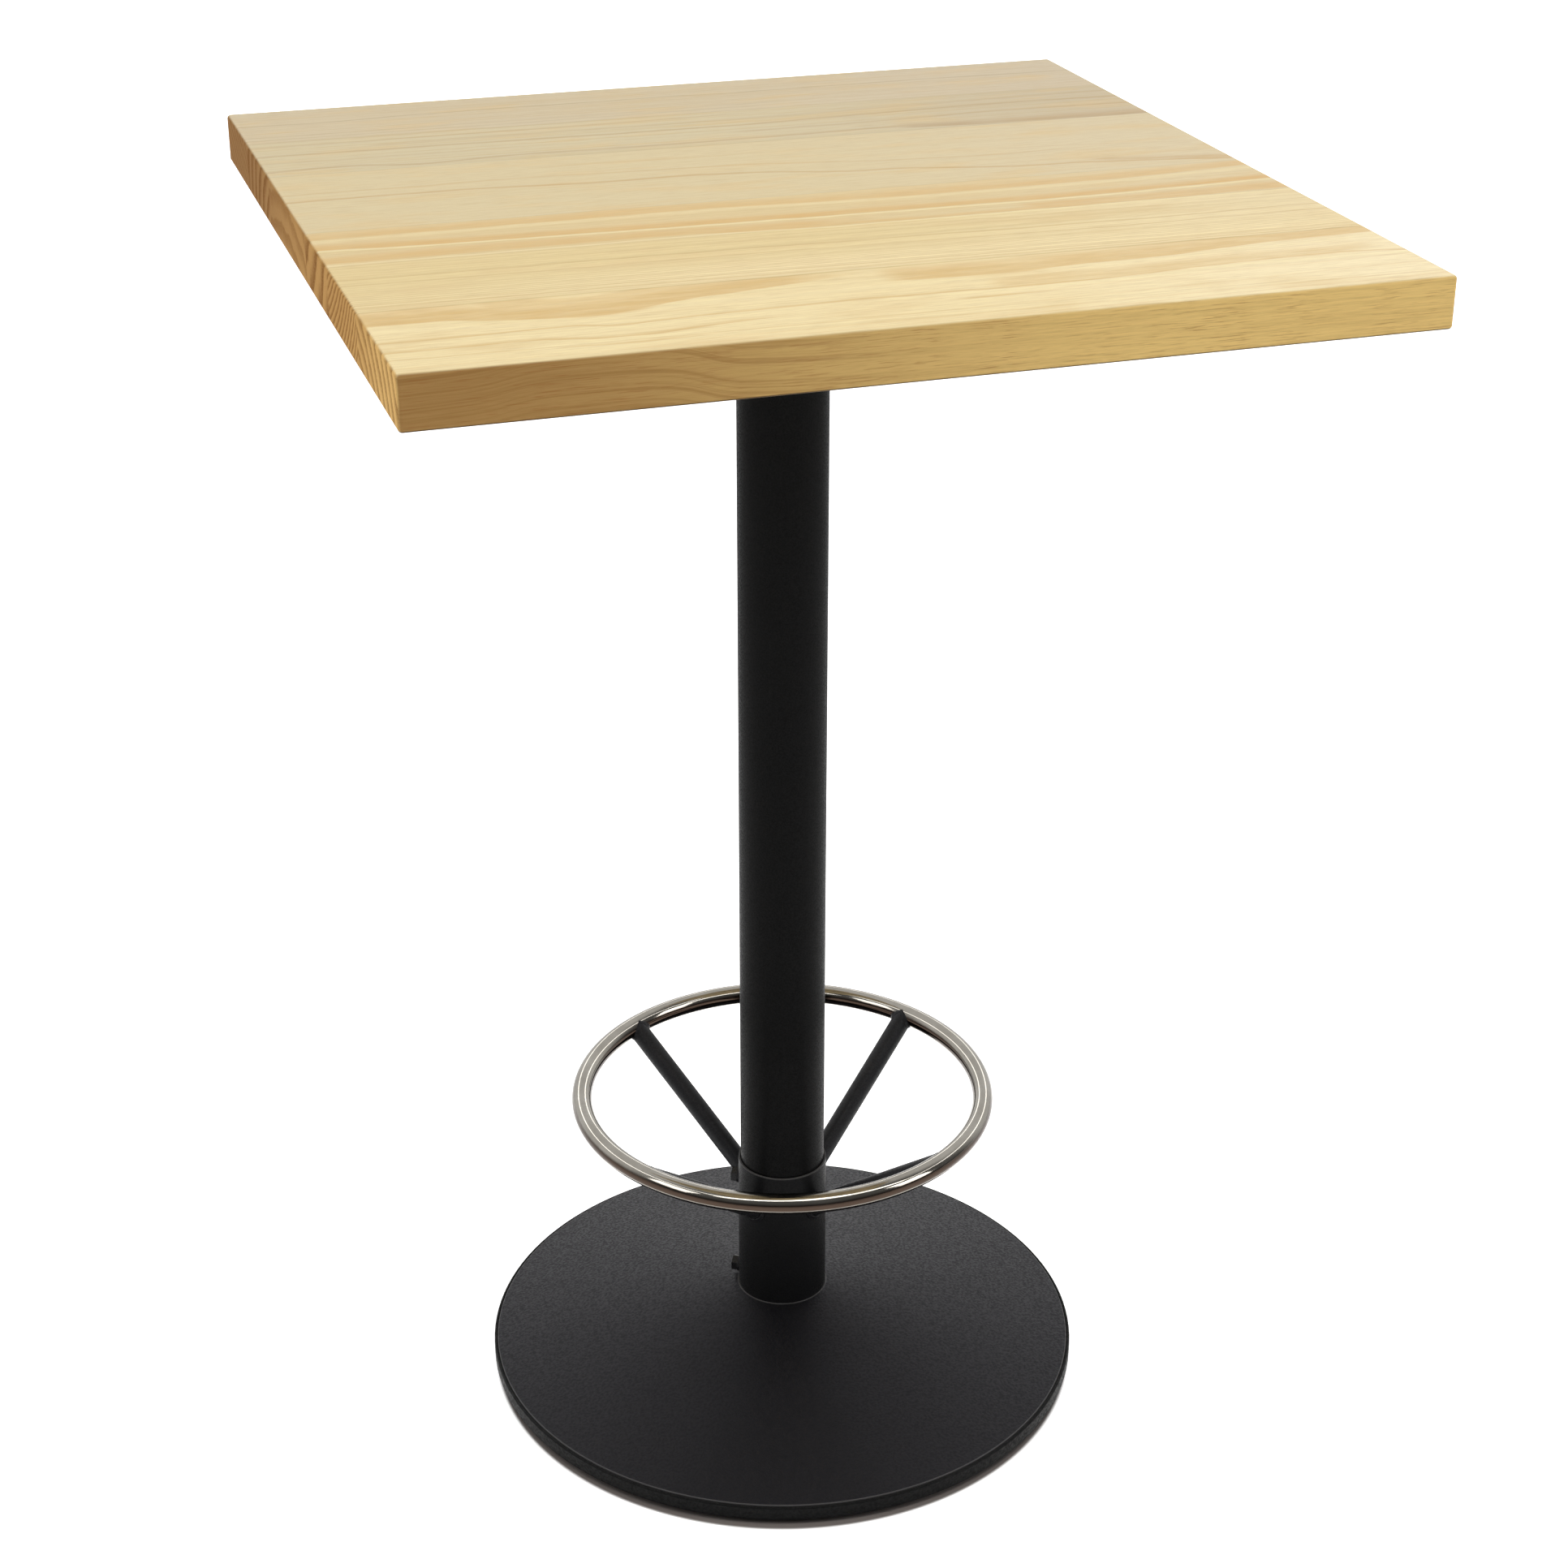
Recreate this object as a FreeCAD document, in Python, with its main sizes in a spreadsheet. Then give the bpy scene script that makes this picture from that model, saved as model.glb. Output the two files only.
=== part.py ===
import FreeCAD, Part

import os

import Sketcher
from FreeCAD import Rotation, Vector

# A bar-height pub table: a square top of glued pine boards on a four-armed iron spider, a round
# steel column, a round iron base under a spun steel cover, and a foot ring whose collar is clamped
# to the column by two set bolts.
#
# Frame: origin on the floor under the column's axis, +X along the boards' grain, +Y to the rear,
# +Z up. All sizes are in millimetres and all angles in degrees.

doc = FreeCAD.newDocument("PubTable")

SIZES = {
    # Allowances that every piece shares
    "overlap": (1, "how far joined shapes reach into each other"),
    # Table top
    "total_height": (1100, "floor to the upper face of the top"),
    "top_length": (762, "top along the grain"),
    "rear_board_width": (115.5, "first board from the rear"),
    "second_board_width": (115.5, "second board"),
    "third_board_width": (176, "third board"),
    "fourth_board_width": (96, "fourth board"),
    "fifth_board_width": (117, "fifth board"),
    "front_board_width": (142, "sixth board, at the front"),
    "top_thick": (40, "thickness of the boards"),
    "edge_round": (3, "rounding of the top's outer edges and corners"),
    # Column
    "column_diameter": (76, "outside of the column tube"),
    "column_wall": (2, "wall of the column tube"),
    "spigot_clearance": (0.1, "radial gap between a spigot and the column's inside"),
    "spigot_height": (18, "how far each spigot reaches into the column"),
    # Tie rod
    "rod_diameter": (16, "threaded rod down the column's middle"),
    "rod_clearance": (0.5, "radial gap between the rod and the bores that it passes"),
    "rod_end_gap": (0.5, "from the rod's upper end to the underside of the top"),
    "rod_tail": (2, "length of rod below the lower nut"),
    "nut_flats": (24, "across the flats of a tie rod nut"),
    "nut_height": (13, "height of a tie rod nut"),
    "washer_diameter": (30, "outside of a tie rod washer"),
    "washer_thick": (3, "thickness of a tie rod washer"),
    "recess_diameter": (44, "pocket that holds a nut and its washer"),
    # Spider under the top
    "spider_azimuth": (45, "direction of the first arm"),
    "spider_reach": (280, "axis to the end of an arm"),
    "spider_hub_diameter": (96, "outside of the spider's hub"),
    "spider_hub_height": (20, "hub between the top and the column's end"),
    "arm_root": (38, "axis to the root of an arm inside the hub"),
    "arm_root_width": (50, "width of an arm at the hub"),
    "arm_tip_width": (34, "width of an arm at its end"),
    "arm_thick": (6, "thickness of an arm"),
    "arm_rib_thick": (8, "thickness of the rib under an arm"),
    "arm_rib_depth": (12, "depth of that rib at the hub"),
    "arm_rib_inset": (40, "end of an arm to where its rib runs out"),
    "arm_corner": (8, "corners cut off an arm's end"),
    # Wood screws
    "screw_diameter": (5, "shank of a wood screw"),
    "screw_length": (30, "shank under the head"),
    "screw_head_diameter": (10.5, "pan head"),
    "screw_head_thick": (3.2, "pan head"),
    "screw_tip_length": (5, "pointed end"),
    "screw_clearance": (0.05, "radial gap of a pilot hole in the wood"),
    "pilot_spare": (1, "depth of a pilot hole past the screw's point"),
    "arm_hole_clearance": (0.5, "radial gap of a screw in its arm"),
    "screw_seat_gap": (1, "radial gap round a screw's head where a rib is cut away"),
    "inner_screw_radius": (130, "axis to the inner ring of screws"),
    "outer_screw_inset": (25, "end of an arm to its outer screw"),
    # Base casting
    "base_diameter": (541, "outside of the base"),
    "floor_gap": (5, "floor to the underside of the base"),
    "plate_thick": (8.5, "the casting's plate"),
    "rim_height": (12.3, "outer rim of the casting"),
    "rim_width": (2.2, "upstanding lip of the rim"),
    "rim_round": (1.6, "rounding of the rim's upper outer edge"),
    "under_recess": (2.5, "depth of the shallow recess below the plate"),
    "under_rim_width": (22, "solid border round that recess"),
    "under_hub_diameter": (120, "solid middle inside that recess"),
    "base_hub_diameter": (104, "hub that carries the column"),
    "column_seat": (44, "floor to the column's lower end"),
    "base_rib_thick": (8, "ribs beside the hub"),
    "base_rib_root": (50, "axis to the root of a rib inside the hub"),
    "base_rib_reach": (180, "axis to the end of a rib"),
    "base_rib_shoulder": (4, "from the top of a rib up to the column's lower end"),
    "base_rib_tail": (2, "height of a rib's outer end above the plate"),
    # Base cover
    "cover_thick": (1.5, "sheet of the spun cover"),
    "cover_gap": (0.8, "seam between the cover's edge and the rim"),
    "cover_stand": (0.8, "height of the cover's corner above the rim"),
    "cover_round": (1.2, "rounding of the cover's lower corner"),
    "neck_height": (66, "floor to the flat at the cover's neck"),
    "neck_flat": (2.6, "width of that flat, which the collar stands on"),
    # Foot ring
    "collar_clearance": (0.6, "radial gap between the column and the collar or the cover"),
    "collar_wall": (1.6, "wall of the collar"),
    "collar_height": (136, "length of the collar"),
    "ring_radius": (181.5, "axis to the middle of the ring's tube"),
    "ring_height": (270.5, "floor to the middle of the ring's tube"),
    "ring_tube": (18, "outside of the ring's tube"),
    "ring_wall": (1.5, "wall of the ring's tube"),
    "spoke_azimuth": (32.2, "direction of the first spoke"),
    "spoke_diameter": (18, "outside of a spoke"),
    "spoke_wall": (2, "wall of a spoke"),
    "spoke_root": (98.8, "the collar's foot to the spoke's axis where it leaves the collar"),
    # Set bolts
    "bolt_azimuth": (146, "direction of the two set bolts"),
    "lower_bolt": (9, "the collar's foot to the lower bolt's axis"),
    "upper_bolt": (107.8, "the collar's foot to the upper bolt's axis"),
    "bolt_diameter": (8, "thread of a set bolt"),
    "bolt_clearance": (0.05, "radial gap of a set bolt in its thread"),
    "bolt_flats": (13, "across the flats of its head"),
    "bolt_head": (5.3, "height of its head"),
    "bolt_tip_gap": (0.3, "from a set bolt's tip to the column"),
    "bolt_seat_gap": (0.1, "from the boss to the head"),
    "boss_diameter": (15, "threaded boss on the collar"),
    "boss_height": (2, "how far the boss stands out of the collar"),
    # Levelling glides
    "glide_azimuth": (45, "direction of the first glide"),
    "glide_inset": (44.5, "outside of the base to the axis of a glide"),
    "glide_pad_diameter": (38, "foot of a glide"),
    "glide_pad_thick": (4.9, "height of that foot"),
    "glide_pad_round": (1, "rounding of the foot's edges"),
    "stem_diameter": (8, "threaded stem"),
    "stem_length": (18.5, "stem above its flange"),
    "stem_chamfer": (1, "chamfer at the stem's upper end"),
    "stem_clearance": (0.05, "radial gap of a stem in its thread"),
    "flange_diameter": (14, "flange that the foot holds"),
    "flange_thick": (1.8, "thickness of that flange"),
    "flange_height": (1.5, "floor to the underside of the flange"),
    "socket_clearance": (0.08, "gap round the flange in the foot"),
    "socket_mouth": (9.4, "opening of the foot round the stem"),
    "glide_boss_diameter": (32, "boss that a stem screws into"),
    "glide_boss_height": (12, "length of that boss"),
}

sheet = doc.addObject("Spreadsheet::Sheet", "Sizes")
for row, (alias, (value, note)) in enumerate(SIZES.items(), start=1):
    sheet.set(f"A{row}", alias)
    sheet.set(f"B{row}", str(value))
    sheet.set(f"C{row}", note)
    sheet.setAlias(f"B{row}", alias)
doc.recompute()

# Heights, widths and radii that several pieces share, as expressions of the sheet.
BOARD_WIDTHS = [
    f"Sizes.{place}_board_width" for place in ("rear", "second", "third", "fourth", "fifth", "front")
]
TOP_UNDERSIDE = "(Sizes.total_height - Sizes.top_thick)"
TOP_DEPTH = "(" + " + ".join(BOARD_WIDTHS) + ")"
COLUMN_RADIUS = "(Sizes.column_diameter / 2)"
SPIGOT_RADIUS = "(Sizes.column_diameter / 2 - Sizes.column_wall - Sizes.spigot_clearance)"
COLUMN_TOP = f"({TOP_UNDERSIDE} - Sizes.spider_hub_height)"
ROD_BORE = "(Sizes.rod_diameter / 2 + Sizes.rod_clearance)"
NUT_STACK = "(Sizes.nut_height + Sizes.washer_thick)"
SPIDER_SEAT = f"({TOP_UNDERSIDE} - Sizes.rod_end_gap - {NUT_STACK} - Sizes.rod_end_gap)"
BASE_SEAT = f"(Sizes.floor_gap + Sizes.rod_tail + Sizes.rod_tail + {NUT_STACK})"
BASE_RADIUS = "(Sizes.base_diameter / 2)"
PLATE_TOP = "(Sizes.floor_gap + Sizes.plate_thick)"
RIM_TOP = "(Sizes.floor_gap + Sizes.rim_height)"
RIM_INSIDE = f"({BASE_RADIUS} - Sizes.rim_width)"
COVER_EDGE = f"({RIM_INSIDE} - Sizes.cover_gap)"
COLLAR_INSIDE = f"({COLUMN_RADIUS} + Sizes.collar_clearance)"
COLLAR_OUTSIDE = f"({COLLAR_INSIDE} + Sizes.collar_wall)"
GLIDE_RADIUS = f"({BASE_RADIUS} - Sizes.glide_inset)"
RIGHT_ANGLE = Rotation(Vector(0, 1, 0), 90)
QUARTERS = range(4)
TOLERANCE = 0.01


# Building blocks ------------------------------------------------------------------------------


def bind(item, **expressions):
    """Tie properties of an object to expressions; a double underscore stands for a dot."""
    for name, expression in expressions.items():
        item.setExpression(name.replace("__", "."), expression)
    return item


def turn_about_z(item, azimuth):
    """Turn an object about the table's axis by an expression."""
    item.Placement.Rotation = Rotation(Vector(0, 0, 1), 1)
    bind(item, Placement__Rotation__Angle=azimuth)
    return item


def new_body(label):
    body = doc.addObject("PartDesign::Body", label)
    body.Label = label
    return body


def origin_feature(body, role):
    return next(item for item in body.Origin.OriginFeatures if item.Role == role)


def new_sketch(body, name, role="XY_Plane", lift=None):
    """Add a sketch on one of the body's origin planes, lifted along the plane's normal."""
    sketch = body.newObject("Sketcher::SketchObject", name)
    sketch.AttachmentSupport = (origin_feature(body, role), [""])
    sketch.MapMode = "FlatFace"
    if lift:
        bind(sketch, AttachmentOffset__Base__z=lift)
    return sketch


def measure(sketch, kind, element, point, expression):
    """Fix one point's distance from the sketch's origin along one axis."""
    index = sketch.addConstraint(Sketcher.Constraint(kind, -1, 1, element, point, 1.0))
    sketch.setExpression(f"Constraints[{index}]", expression)


def draw_outline(sketch, corners):
    """Draw a closed outline whose corners are pairs of expressions."""
    first = sketch.GeometryCount
    count = len(corners)
    starts = [Vector(10 + 10 * index, 5 * index * index, 0) for index in range(count)]
    for index in range(count):
        sketch.addGeometry(Part.LineSegment(starts[index], starts[(index + 1) % count]), False)
    for index in range(count):
        following = first + (index + 1) % count
        sketch.addConstraint(Sketcher.Constraint("Coincident", first + index, 2, following, 1))
    for index, (across, up) in enumerate(corners):
        measure(sketch, "DistanceX", first + index, 1, across)
        measure(sketch, "DistanceY", first + index, 1, up)


def draw_circle(sketch, across, up, radius):
    """Draw a circle whose centre and radius are expressions."""
    circle = sketch.addGeometry(Part.Circle(Vector(10, 10, 0), Vector(0, 0, 1), 3), False)
    measure(sketch, "DistanceX", circle, 3, across)
    measure(sketch, "DistanceY", circle, 3, up)
    index = sketch.addConstraint(Sketcher.Constraint("Radius", circle, 3.0))
    sketch.setExpression(f"Constraints[{index}]", radius)


def add_pad(body, name, sketch, length, middle=False, downward=False):
    pad = body.newObject("PartDesign::Pad", name)
    pad.Profile = sketch
    pad.Midplane = middle
    pad.Reversed = downward
    return bind(pad, Length=length)


def add_pocket(body, name, sketch, depth, upward):
    pocket = body.newObject("PartDesign::Pocket", name)
    pocket.Profile = sketch
    pocket.Reversed = upward
    return bind(pocket, Length=depth)


def add_revolution(body, name, sketch):
    """Turn a sketch of the XZ plane a full circle about the body's Z axis."""
    revolution = body.newObject("PartDesign::Revolution", name)
    revolution.Profile = sketch
    revolution.ReferenceAxis = (sketch, ["V_Axis"])
    revolution.Angle = 360
    return revolution


def turned_body(label, corners):
    """Make a round body from the half section that its corners give."""
    body = new_body(label)
    section = new_sketch(body, f"{label}_section", "XZ_Plane")
    draw_outline(section, corners)
    add_revolution(body, f"{label}_turned", section)
    return body


def add_quarters(body, name, features):
    """Repeat features four times round the body's Z axis."""
    pattern = body.newObject("PartDesign::PolarPattern", name)
    pattern.Originals = features
    pattern.Axis = (origin_feature(body, "Z_Axis"), [""])
    pattern.Angle = 360
    pattern.Occurrences = 4
    body.Tip = pattern
    return pattern


def add_rounding(body, name, base, wanted, radius):
    """Round the edges of the base feature that the test picks."""
    doc.recompute()
    picked = [
        f"Edge{number}" for number, edge in enumerate(base.Shape.Edges, start=1) if wanted(edge)
    ]
    rounding = body.newObject("PartDesign::Fillet", name)
    rounding.Base = (base, picked)
    return bind(rounding, Radius=radius)


def upper_outer_edge(shape):
    """Give the test for the upper one of the round edges at a shape's greatest radius."""
    outer = shape.BoundBox.XMax
    rings = [
        edge.Curve
        for edge in shape.Edges
        if isinstance(edge.Curve, Part.Circle) and abs(edge.Curve.Radius - outer) < TOLERANCE
    ]
    height = max(ring.Center.z for ring in rings)

    def is_wanted(edge):
        curve = edge.Curve
        if not isinstance(curve, Part.Circle):
            return False
        return abs(curve.Radius - outer) < TOLERANCE and abs(curve.Center.z - height) < TOLERANCE

    return is_wanted


def new_cylinder(name, radius, height, **placement):
    cylinder = doc.addObject("Part::Cylinder", name)
    return bind(cylinder, Radius=radius, Height=height, **placement)


def new_prism(name, flats, height, **placement):
    """Make a six-sided prism from the size across its flats."""
    prism = doc.addObject("Part::Prism", name)
    prism.Polygon = 6
    return bind(prism, Circumradius=f"{flats} / 2 / cos(30)", Height=height, **placement)


def cut(name, base, tool):
    result = doc.addObject("Part::Cut", name)
    result.Base = base
    result.Tool = tool
    result.Label = name
    return result


def join(name, shapes):
    result = doc.addObject("Part::MultiFuse", name)
    result.Shapes = shapes
    result.Label = name
    return result


def group(name, links):
    result = doc.addObject("Part::Compound", name)
    result.Links = links
    result.Label = name
    return result


# Table top ------------------------------------------------------------------------------------


SCREW_CIRCLES = [
    "Sizes.inner_screw_radius",
    "(Sizes.spider_reach - Sizes.outer_screw_inset)",
]


def is_outer_edge(edge, front, rear):
    """Tell whether an edge of a board lies on the outside of the glued top."""
    middle = edge.CenterOfMass
    direction = edge.tangentAt(edge.FirstParameter)
    across_the_grain = abs(direction.y) > 1 - TOLERANCE
    near_front = front is not None and abs(middle.y - front) < TOLERANCE
    near_rear = rear is not None and abs(middle.y - rear) < TOLERANCE
    return across_the_grain or near_front or near_rear


def make_board(number):
    """Make one board of the top, counted from the rear, with its pilot holes."""
    label = f"top_board_{number}"
    behind = " + ".join(["0"] + BOARD_WIDTHS[: number - 1])
    rear = f"({TOP_DEPTH} / 2 - ({behind}))"
    front = f"({rear} - {BOARD_WIDTHS[number - 1]})"
    half = "Sizes.top_length / 2"
    body = new_body(label)
    outline = new_sketch(body, f"{label}_outline", lift=TOP_UNDERSIDE)
    draw_outline(
        outline, [(f"-{half}", front), (half, front), (half, rear), (f"-{half}", rear)]
    )
    blank = add_pad(body, f"{label}_blank", outline, "Sizes.top_thick")
    doc.recompute()
    box = blank.Shape.BoundBox
    outer_front = box.YMin if number == len(BOARD_WIDTHS) else None
    outer_rear = box.YMax if number == 1 else None
    rounded = add_rounding(
        body,
        f"{label}_rounded",
        blank,
        lambda edge: is_outer_edge(edge, outer_front, outer_rear),
        "Sizes.edge_round",
    )
    body.Tip = rounded
    if 1 < number < len(BOARD_WIDTHS):
        holes = new_sketch(body, f"{label}_pilot_circles", lift=TOP_UNDERSIDE)
        for circle in SCREW_CIRCLES:
            for quarter in QUARTERS:
                bearing = f"(Sizes.spider_azimuth + {90 * quarter})"
                draw_circle(
                    holes,
                    f"{circle} * cos({bearing})",
                    f"{circle} * sin({bearing})",
                    "Sizes.screw_diameter / 2 + Sizes.screw_clearance",
                )
        depth = "Sizes.screw_length - Sizes.arm_thick + Sizes.pilot_spare"
        add_pocket(body, f"{label}_pilot_holes", holes, depth, upward=True)
    return body


boards = [make_board(number) for number in range(1, len(BOARD_WIDTHS) + 1)]


# Spider and its screws ------------------------------------------------------------------------


def make_spider():
    """Make the iron spider: a hub that stands on the column and four arms under the top."""
    hub = "Sizes.spider_hub_diameter / 2"
    recess = "Sizes.recess_diameter / 2"
    body = turned_body(
        "top_spider",
        [
            (ROD_BORE, f"{COLUMN_TOP} - Sizes.spigot_height"),
            (SPIGOT_RADIUS, f"{COLUMN_TOP} - Sizes.spigot_height"),
            (SPIGOT_RADIUS, COLUMN_TOP),
            (hub, COLUMN_TOP),
            (hub, TOP_UNDERSIDE),
            (recess, TOP_UNDERSIDE),
            (recess, SPIDER_SEAT),
            (ROD_BORE, SPIDER_SEAT),
        ],
    )
    root = "Sizes.arm_root"
    shoulder = "Sizes.spider_reach - Sizes.arm_corner"
    tip = "Sizes.arm_tip_width / 2"
    plan = new_sketch(body, "spider_arm_plan", lift=TOP_UNDERSIDE)
    draw_outline(
        plan,
        [
            (root, "-Sizes.arm_root_width / 2"),
            (shoulder, f"-{tip}"),
            ("Sizes.spider_reach", f"Sizes.arm_corner - {tip}"),
            ("Sizes.spider_reach", f"{tip} - Sizes.arm_corner"),
            (shoulder, tip),
            (root, "Sizes.arm_root_width / 2"),
        ],
    )
    arm = add_pad(body, "spider_arm", plan, "Sizes.arm_thick", downward=True)
    side = new_sketch(body, "spider_rib_side", "XZ_Plane")
    rib_end = "Sizes.spider_reach - Sizes.arm_rib_inset"
    draw_outline(
        side,
        [
            (root, f"{TOP_UNDERSIDE} - Sizes.arm_thick / 2"),
            (root, f"{TOP_UNDERSIDE} - Sizes.arm_thick - Sizes.arm_rib_depth"),
            (rib_end, f"{TOP_UNDERSIDE} - Sizes.arm_thick"),
            (rib_end, f"{TOP_UNDERSIDE} - Sizes.arm_thick / 2"),
        ],
    )
    rib = add_pad(body, "spider_rib", side, "Sizes.arm_rib_thick", middle=True)
    holes = new_sketch(body, "spider_hole_circles", lift=TOP_UNDERSIDE)
    clear_radius = "Sizes.screw_diameter / 2 + Sizes.arm_hole_clearance"
    for circle in SCREW_CIRCLES:
        draw_circle(holes, circle, "0", clear_radius)
    depth = "Sizes.arm_thick + Sizes.arm_rib_depth"
    drilled = add_pocket(body, "spider_holes", holes, depth, upward=False)
    faces = new_sketch(body, "spider_seat_circles", lift=f"{TOP_UNDERSIDE} - Sizes.arm_thick")
    for circle in SCREW_CIRCLES:
        seat_radius = "Sizes.screw_head_diameter / 2 + Sizes.screw_seat_gap"
        draw_circle(faces, circle, "0", seat_radius)
    seats = add_pocket(body, "spider_screw_seats", faces, "Sizes.arm_rib_depth", upward=False)
    add_quarters(body, "spider_quarters", [arm, rib, drilled, seats])
    return turn_about_z(body, "Sizes.spider_azimuth")


def make_screw(name, circle, quarter):
    """Make one pan-head wood screw, pointing up through its arm into the wood."""
    underside = f"{TOP_UNDERSIDE} - Sizes.arm_thick"
    bearing = f"(Sizes.spider_azimuth + {90 * quarter})"
    spot = {
        "Placement__Base__x": f"{circle} * cos({bearing})",
        "Placement__Base__y": f"{circle} * sin({bearing})",
    }
    head = new_cylinder(
        f"{name}_head",
        "Sizes.screw_head_diameter / 2",
        "Sizes.screw_head_thick",
        Placement__Base__z=f"{underside} - Sizes.screw_head_thick",
        **spot,
    )
    shank = new_cylinder(
        f"{name}_shank",
        "Sizes.screw_diameter / 2",
        "Sizes.screw_length - Sizes.screw_tip_length",
        Placement__Base__z=underside,
        **spot,
    )
    tip = doc.addObject("Part::Cone", f"{name}_tip")
    tip.Radius2 = 0
    bind(
        tip,
        Radius1="Sizes.screw_diameter / 2",
        Height="Sizes.screw_tip_length",
        Placement__Base__z=f"{underside} + Sizes.screw_length - Sizes.screw_tip_length",
        **spot,
    )
    return join(name, [head, shank, tip])


spider = make_spider()
screws = group(
    "spider_screws",
    [
        make_screw(f"screw_{ring}_{quarter + 1}", circle, quarter)
        for ring, circle in zip(("inner", "outer"), SCREW_CIRCLES)
        for quarter in QUARTERS
    ],
)


# Column and tie rod ---------------------------------------------------------------------------


def make_column():
    body = new_body("column_tube")
    walls = new_sketch(body, "column_walls", lift="Sizes.column_seat")
    draw_circle(walls, "0", "0", COLUMN_RADIUS)
    draw_circle(walls, "0", "0", f"{COLUMN_RADIUS} - Sizes.column_wall")
    add_pad(body, "column_length", walls, f"{COLUMN_TOP} - Sizes.column_seat")
    return body


def make_tie_rod_set():
    """Make the rod, the nut and washer at each end and their groups."""
    low_end = f"{BASE_SEAT} - {NUT_STACK} - Sizes.rod_tail"
    high_end = f"{TOP_UNDERSIDE} - Sizes.rod_end_gap"
    rod = new_cylinder(
        "tie_rod",
        "Sizes.rod_diameter / 2",
        f"{high_end} - ({low_end})",
        Placement__Base__z=low_end,
    )
    rod_bore = "Sizes.rod_diameter / 2"
    nut_feet = {"lower": f"{BASE_SEAT} - {NUT_STACK}", "upper": f"{SPIDER_SEAT} + Sizes.washer_thick"}
    washer_feet = {"lower": f"{BASE_SEAT} - Sizes.washer_thick", "upper": SPIDER_SEAT}
    nuts = []
    washers = []
    for end in ("lower", "upper"):
        foot = {"Placement__Base__z": nut_feet[end]}
        block = new_prism(f"{end}_nut_block", "Sizes.nut_flats", "Sizes.nut_height", **foot)
        bore = new_cylinder(f"{end}_nut_bore", rod_bore, "Sizes.nut_height", **foot)
        nuts.append(cut(f"{end}_nut", block, bore))
        foot = {"Placement__Base__z": washer_feet[end]}
        disc_radius = "Sizes.washer_diameter / 2"
        disc = new_cylinder(f"{end}_washer_disc", disc_radius, "Sizes.washer_thick", **foot)
        bore = new_cylinder(f"{end}_washer_bore", ROD_BORE, "Sizes.washer_thick", **foot)
        washers.append(cut(f"{end}_washer", disc, bore))
    return rod, group("tie_rod_nuts", nuts), group("tie_rod_washers", washers)


column = make_column()
tie_rod, tie_rod_nuts, tie_rod_washers = make_tie_rod_set()


# Base -----------------------------------------------------------------------------------------


def make_base_casting():
    """Make the iron base plate with its rim, hub, ribs and the bosses for the glides."""
    hub = "Sizes.base_hub_diameter / 2"
    recess = "Sizes.recess_diameter / 2"
    under_hub = "Sizes.under_hub_diameter / 2"
    under_rim = f"{BASE_RADIUS} - Sizes.under_rim_width"
    under_top = "Sizes.floor_gap + Sizes.under_recess"
    body = turned_body(
        "base_casting",
        [
            (ROD_BORE, "Sizes.column_seat + Sizes.spigot_height"),
            (ROD_BORE, BASE_SEAT),
            (recess, BASE_SEAT),
            (recess, "Sizes.floor_gap"),
            (under_hub, "Sizes.floor_gap"),
            (under_hub, under_top),
            (under_rim, under_top),
            (under_rim, "Sizes.floor_gap"),
            (BASE_RADIUS, "Sizes.floor_gap"),
            (BASE_RADIUS, RIM_TOP),
            (RIM_INSIDE, RIM_TOP),
            (RIM_INSIDE, PLATE_TOP),
            (hub, PLATE_TOP),
            (hub, "Sizes.column_seat"),
            (SPIGOT_RADIUS, "Sizes.column_seat"),
            (SPIGOT_RADIUS, "Sizes.column_seat + Sizes.spigot_height"),
        ],
    )
    side = new_sketch(body, "base_rib_side", "XZ_Plane")
    draw_outline(
        side,
        [
            ("Sizes.base_rib_root", f"{PLATE_TOP} - Sizes.overlap"),
            ("Sizes.base_rib_reach", f"{PLATE_TOP} - Sizes.overlap"),
            ("Sizes.base_rib_reach", f"{PLATE_TOP} + Sizes.base_rib_tail"),
            ("Sizes.base_rib_root", "Sizes.column_seat - Sizes.base_rib_shoulder"),
        ],
    )
    rib = add_pad(body, "base_rib", side, "Sizes.base_rib_thick", middle=True)
    add_quarters(body, "base_ribs", [rib])
    spot = (f"{GLIDE_RADIUS} * cos(45)", f"{GLIDE_RADIUS} * sin(45)")
    bosses = new_sketch(body, "glide_boss_circle", lift="Sizes.floor_gap")
    draw_circle(bosses, *spot, "Sizes.glide_boss_diameter / 2")
    boss = add_pad(body, "glide_boss", bosses, "Sizes.glide_boss_height")
    bores = new_sketch(body, "glide_bore_circle", lift="Sizes.floor_gap")
    draw_circle(bores, *spot, "Sizes.stem_diameter / 2 + Sizes.stem_clearance")
    bore = add_pocket(body, "glide_bore", bores, "Sizes.glide_boss_height", upward=True)
    seats = add_quarters(body, "glide_seats", [boss, bore])
    doc.recompute()
    body.Tip = add_rounding(
        body, "rim_rounded", seats, upper_outer_edge(seats.Shape), "Sizes.rim_round"
    )
    return turn_about_z(body, "Sizes.glide_azimuth - 45")


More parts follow.
